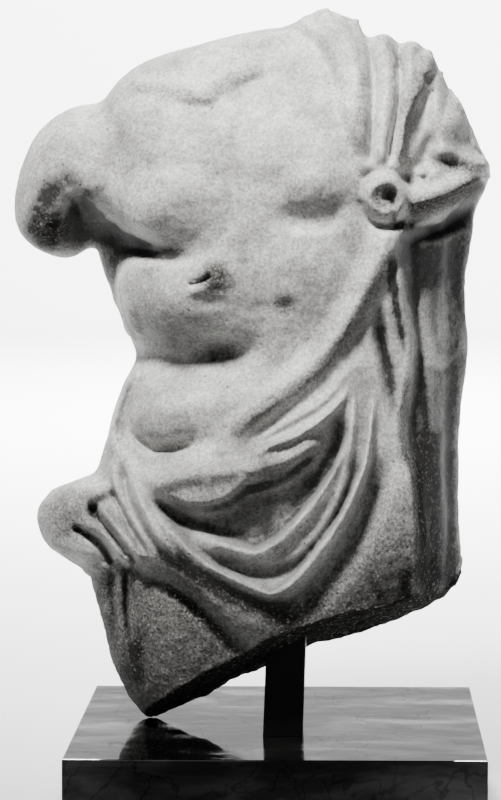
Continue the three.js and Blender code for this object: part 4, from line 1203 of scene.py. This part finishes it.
@dataclass
class MarbleTorso:
    """The carved marble: the CAD solid's form with its finer relief.

    Attributes:
        voxel: Spacing of the even mesh that the back keeps, in millimetres.
        evening: How often the even mesh is relaxed before it settles on the form.
        reach: How far a point of the even mesh may move to the carved surface, in millimetres.
        fine_evening: How often the divided mesh is relaxed before each time that it settles again.
        fine_reach: How far its points may move then, in millimetres.
        front_y: Only edges in front of this depth, in metres, are divided.
        front_normal_y: Only edges whose ends face back by less than this are divided.
        zone_y: How far back the zones of the front reach, from none to full, in millimetres.
        break_depth: How far under the break's surface a point is broken stone, from none to full, in
            millimetres.
        break_normal_z: Points that face up by more than this aren't on the break.
        break_shade: Painted shade added to the soil value on the break, which faces down.
        veil_y: Where the earth on the back begins and where it is full, in millimetres.
        veil_soil: Its strength, and how far that goes up and down.
        veil_mm: Width of its largest patches.
        hollow_darkenings: Darkening in small and in wide hollows: earth that gathers there, and painted shade
            in creases and recesses.
        wear: The layers of unevenness.
    """

    voxel: float = 4.15
    evening: int = 6
    reach: float = 44.0
    fine_evening: tuple = (2, 1)
    fine_reach: float = 12.0
    front_y: float = 0.004
    front_normal_y: float = 0.25
    zone_y: tuple = (66.0, -24.0)
    break_depth: tuple = (-2.5, 0.5)
    break_normal_z: float = 0.2
    break_shade: float = 1.3
    veil_y: tuple = (10.0, 60.0)
    veil_soil: tuple = (0.3, 0.22)
    veil_mm: float = 45.0
    hollow_darkenings: tuple = (HollowDarkening(14, 0.4, -0.3, 0.06), HollowDarkening(60, 0.06, -0.1, 0.2))
    wear: tuple = (
        Unevenness(5.0, 2, SEED, skin=0.2, tooled=0.5),
        Unevenness(11.0, 2, SEED + 3, skin=0.45),
        Unevenness(30.0, 2, SEED + 7, skin=0.6),
        Unevenness(26.0, 3, SEED + 13, broken=1.6),
    )

    def even_mesh(self) -> bpy.types.Mesh:
        """Makes an evenly divided copy of the CAD solid.

        Returns:
            The mesh, in metres.
        """
        holder = placed("torso_work", meshed("torso_work", merged("marble_torso")), Matrix())
        remesh = holder.modifiers.new("even", "REMESH")
        remesh.mode = "VOXEL"
        remesh.voxel_size = self.voxel * MM
        mesh = bpy.data.meshes.new_from_object(holder.evaluated_get(bpy.context.evaluated_depsgraph_get()))
        bpy.data.meshes.remove(holder.data)
        work = bmesh.new()
        work.from_mesh(mesh)
        for _ in range(self.evening):
            bmesh.ops.smooth_vert(work, verts=work.verts, factor=0.5, use_axis_x=True, use_axis_y=True,
                                  use_axis_z=True)
        work.to_mesh(mesh)
        work.free()
        return mesh

    def divide_front(self, mesh: bpy.types.Mesh) -> None:
        """Divides the edges of the carved front once more.

        Args:
            mesh: The marble's mesh.
        """
        work = bmesh.new()
        work.from_mesh(mesh)
        front = [e for e in work.edges
                 if all(v.co.y < self.front_y and v.normal.y < self.front_normal_y for v in e.verts)]
        bmesh.ops.subdivide_edges(work, edges=front, cuts=1, use_grid_fill=True)
        work.to_mesh(mesh)
        work.free()

    @staticmethod
    def values(mesh: bpy.types.Mesh, name: str) -> np.ndarray:
        """Reads a value of three numbers from each point of a mesh.

        Args:
            mesh: The mesh.
            name: Blender's name of the value: co for places in metres, normal for normals.

        Returns:
            One row per point.
        """
        values = np.empty(len(mesh.vertices) * 3, np.float32)
        mesh.vertices.foreach_get(name, values)
        return values.reshape(-1, 3).astype(float)

    @staticmethod
    def move(mesh: bpy.types.Mesh, points: np.ndarray) -> None:
        """Writes a mesh's points, given in millimetres."""
        mesh.vertices.foreach_set("co", (points * MM).astype(np.float32).ravel())
        mesh.update()

    @staticmethod
    def relaxed(mesh: bpy.types.Mesh, points: np.ndarray, rounds: int) -> np.ndarray:
        """Evens values out over neighbouring points.

        Args:
            mesh: The mesh whose edges join the points.
            points: One row of values per point.
            rounds: How often each point moves halfway to the mean of its neighbours.

        Returns:
            The evened values.
        """
        ends = np.empty(len(mesh.edges) * 2, np.int32)
        mesh.edges.foreach_get("vertices", ends)
        a, b = ends.reshape(-1, 2).T
        size = len(points)
        count = np.bincount(ends, minlength=size)[:, None]
        for _ in range(rounds):
            total = [np.bincount(a, column[b], size) + np.bincount(b, column[a], size) for column in points.T]
            points = 0.5 * points + 0.5 * np.stack(total, axis=1) / np.maximum(count, 1)
        return points

    def zones(self, form: TorsoForm, points: np.ndarray, forms: tuple) -> np.ndarray:
        """Gives the strength of some zones of the front at places in millimetres."""
        strength = np.clip(Relief(forms).height(*form.seen(points)), 0, 1)
        return strength * smoothstep(*self.zone_y, points[:, 1])

    def build(self, finish: bpy.types.Material) -> bpy.types.Object:
        """Builds the marble.

        Args:
            finish: Its material.

        Returns:
            The piece that stands for the CAD node.
        """
        form = TorsoForm()
        mesh = self.even_mesh()
        self.move(mesh, form.settle(self.values(mesh, "co") / MM, self.reach))
        self.divide_front(mesh)
        points = self.values(mesh, "co") / MM
        for rounds in self.fine_evening:
            points = form.settle(self.relaxed(mesh, points, rounds), self.fine_reach)
        self.move(mesh, points)
        normals = self.values(mesh, "normal")
        broken = smoothstep(*self.break_depth, form.below(points)) * (normals[:, 2] < self.break_normal_z)
        tooled = np.clip(self.zones(form, points, TOOLED) + broken, 0, 1)
        soil_and_shade = self.soil_and_shade(form, mesh, points, broken)
        wear = sum((layer.skin + layer.tooled * tooled + layer.broken * broken)
                   * layered_noise(points, layer.size, layer.layers, layer.seed) for layer in self.wear)
        self.move(mesh, points + normals * wear[:, None])
        for name, values in (("soil_and_shade", soil_and_shade), ("tooled", tooled)):
            layer = mesh.attributes.new(name, "FLOAT", "POINT")
            layer.data.foreach_set("value", values.astype(np.float32))
        piece = dressed("carved_marble_torso", mesh, finish, True)
        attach(piece, "root")
        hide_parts("marble_torso")
        return piece

    def soil_and_shade(self, form: TorsoForm, mesh: bpy.types.Mesh, points: np.ndarray,
             broken: np.ndarray) -> np.ndarray:
        """Gives how much earth, patina and painted shade lies on each point.

        Args:
            form: The carved form.
            mesh: The marble's mesh.
            points: Its points in millimetres.
            broken: How far each of them belongs to the break.

        Returns:
            A value from 0 to 1 per point.
        """
        normals = self.values(mesh, "normal")
        # The stain zones add earth, patina and painted shade, and the break gets painted shade as it faces
        # down
        soil_and_shade = self.zones(form, points, STAINS_AND_SHADE) + self.break_shade * broken
        # The back lay in the ground: a thin uneven veil of earth
        mean, swing = self.veil_soil
        veil = mean + swing * layered_noise(points, self.veil_mm, 3, SEED + 21)
        soil_and_shade += smoothstep(*self.veil_y, points[:, 1]) * veil
        # Darker in hollows and creases, earth and painted shade together, and lighter on rubbed crests
        for darkening in self.hollow_darkenings:
            hollow = ((self.relaxed(mesh, points, darkening.rounds) - points) * normals).sum(axis=1)
            soil_and_shade += np.clip(hollow * darkening.strength, darkening.rubbed, darkening.most)
        return np.clip(soil_and_shade, 0, 1)


@dataclass
class SupportPost:
    """The square steel bar between the block and the marble.

    Attributes:
        edge: Radius of the bar's rolled edges, in millimetres.
        shortest: Only edges higher than this, in millimetres, are rolled.
    """

    edge: float = 1.4
    shortest: float = 50.0

    def build(self, finish: bpy.types.Material) -> bpy.types.Object:
        """Builds the bar over its CAD solid, with its long edges rounded.

        Args:
            finish: Its material.

        Returns:
            The piece that stands for the CAD node.
        """
        work = merged("support_post")
        bmesh.ops.dissolve_limit(work, angle_limit=math.radians(2), verts=work.verts, edges=work.edges)
        upright = [e for e in work.edges if abs(e.verts[0].co.z - e.verts[1].co.z) > self.shortest * MM]
        bmesh.ops.bevel(work, geom=upright, offset=self.edge * MM, offset_type="OFFSET", segments=4,
                        profile=0.5, affect="EDGES", material=-1)
        bmesh.ops.recalc_face_normals(work, faces=work.faces)
        piece = dressed("square_steel_post", meshed("square_steel_post", work), finish, False)
        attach(piece, "root")
        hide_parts("support_post")
        return piece


@dataclass
class DisplayBase:
    """The polished stone block.

    Attributes:
        arris: Width of the rounding of its edges, in millimetres.
    """

    arris: float = 0.7

    def build(self, finish: bpy.types.Material) -> bpy.types.Object:
        """Builds the block in the box of its CAD solid, with rubbed edges.

        Args:
            finish: Its material.

        Returns:
            The piece that stands for the CAD node.
        """
        low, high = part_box("display_base")
        work = bmesh.new()
        bmesh.ops.create_cube(work, size=1.0)
        bmesh.ops.scale(work, vec=high - low, verts=work.verts)
        bmesh.ops.translate(work, vec=(low + high) / 2, verts=work.verts)
        bmesh.ops.bevel(work, geom=work.edges[:], offset=self.arris * MM, offset_type="OFFSET", segments=3,
                        profile=0.5, affect="EDGES", material=-1)
        piece = dressed("polished_stone_block", meshed("polished_stone_block", work), finish, False)
        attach(piece, "root")
        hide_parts("display_base")
        return piece


class LampKind(Enum):
    """The two kinds of studio lamp."""

    PANEL = "AREA"
    SPOT = "SPOT"


@dataclass(frozen=True)
class Lamp:
    """A soft studio lamp.

    Attributes:
        name: Its name.
        kind: A square panel, or a spotlight.
        place: Where it hangs, in metres.
        aim: The point that it faces.
        size: A panel's side or a spotlight's radius, in metres.
        power: In watts.
        beam: The angle that it lights, in degrees.
        soft_edge: The share of a spotlight's beam over which it fades.
    """

    name: str
    kind: LampKind
    place: tuple
    aim: tuple
    size: float
    power: float
    beam: float = 180.0
    soft_edge: float = 0.5

    def build(self) -> None:
        """Hangs the lamp."""
        light = bpy.data.lights.new(self.name, self.kind.value)
        light.energy = self.power
        if self.kind is LampKind.SPOT:
            light.shadow_soft_size = self.size
            light.spot_size = math.radians(self.beam)
            light.spot_blend = self.soft_edge
        else:
            light.size = self.size
            light.spread = math.radians(self.beam)
        turn = (Vector(self.aim) - Vector(self.place)).to_track_quat("-Z", "Y").to_matrix().to_4x4()
        placed(self.name, light, Matrix.Translation(self.place) @ turn)


LAMPS = (
    Lamp("key", LampKind.SPOT, (-0.47, -1.16, 2.33), (0.05, 0.2, 0.62), 0.24, 780.0, 31.0),
    Lamp("fill", LampKind.PANEL, (-0.6, -2.8, 1.0), (0.0, 0.0, 0.35), 1.0, 0.8, 60.0),
    Lamp("backdrop", LampKind.PANEL, (0.0, 2.2, 2.4), (0.0, 3.55, 0.6), 1.6, 1700.0),
    Lamp("card", LampKind.PANEL, (0.0, 5.2, 2.25), (0.0, 0.0, 0.3), 2.2, 22.0),
)


@dataclass
class Studio:
    """A pale round studio whose floor turns up into its wall, and its lamps.

    Attributes:
        floor_radius: Radius of the flat floor, in metres.
        turn_radius: Radius of the curve between floor and wall, in metres.
        wall_height: Height of the wall over the curve, in metres.
        turn_steps: How many steps the curve has.
        round_steps: How many steps the way round has.
        sky_strength: How brightly the air above shines.
    """

    floor_radius: float = 4.5
    turn_radius: float = 0.8
    wall_height: float = 0.36
    turn_steps: int = 12
    round_steps: int = 96
    sky_strength: float = 0.02

    def build(self, finish: bpy.types.Material) -> None:
        """Builds the floor with its wall, the lamps and the sky light.

        Args:
            finish: The floor's paint.
        """
        work = bmesh.new()
        profile = [Vector((0, 0, 0))]
        for i in range(self.turn_steps + 1):
            turn = math.pi / 2 * i / self.turn_steps
            profile.append(Vector((self.floor_radius + self.turn_radius * math.sin(turn), 0,
                                   self.turn_radius * (1 - math.cos(turn)))))
        profile.append(profile[-1] + Vector((0, 0, self.wall_height)))
        points = [work.verts.new(p) for p in profile]
        edges = [work.edges.new(pair) for pair in zip(points[:-1], points[1:])]
        bmesh.ops.spin(work, geom=points + edges, cent=(0, 0, 0), axis=(0, 0, 1), angle=2 * math.pi,
                       steps=self.round_steps, use_merge=True)
        bmesh.ops.remove_doubles(work, verts=work.verts, dist=WELD)
        bmesh.ops.recalc_face_normals(work, faces=work.faces)
        dressed("studio_floor", meshed("studio_floor", work), finish, True)
        for lamp in LAMPS:
            lamp.build()
        world = bpy.data.worlds.new("studio_sky")
        world.use_nodes = True
        sky = world.node_tree.nodes["Background"]
        sky.inputs["Color"].default_value = linear(WHITE)
        sky.inputs["Strength"].default_value = self.sky_strength
        bpy.context.scene.world = world


@dataclass
class PhotoCamera:
    """The camera at the photograph's point of view.

    Attributes:
        film: Long side of the picture in the camera, in millimetres.
        lens: Focal length for it, in millimetres.
        shift: The lens shift that the framing needs.
        yaw: Turn to the viewer's left, in degrees.
        pitch: Tilt, in degrees, negative downwards.
    """

    film: float = 36.0
    lens: float = 88.31
    shift: tuple = (-0.08, -0.2)
    yaw: float = -0.805
    pitch: float = -2.111

    def build(self) -> None:
        """Places the camera."""
        camera = bpy.data.cameras.new("photo_camera")
        camera.lens = self.lens
        camera.sensor_width = self.film
        camera.shift_x, camera.shift_y = self.shift
        sideways = Matrix.Rotation(math.radians(-self.yaw), 4, "Z")
        tilt = Matrix.Rotation(math.radians(90 + self.pitch), 4, "X")
        place = Matrix.Translation(Vector(EYE * MM))
        bpy.context.scene.camera = placed("photo_camera", camera, place @ sideways @ tilt)


def main() -> None:
    """Builds the camera, the pieces and the studio."""
    logging.basicConfig(level=logging.INFO, format="%(name)s: %(message)s")
    PhotoCamera().build()
    builders = ((MarbleTorso(), WeatheredMarble()), (SupportPost(), BlackenedSteel()),
                (DisplayBase(), PolishedStone()))
    for builder, finish in builders:
        piece = builder.build(finish.material())
        log.info("%s: %d faces", piece.name, len(piece.data.polygons))
    Studio().build(StudioPaint().material())


if __name__ == "__main__":
    main()
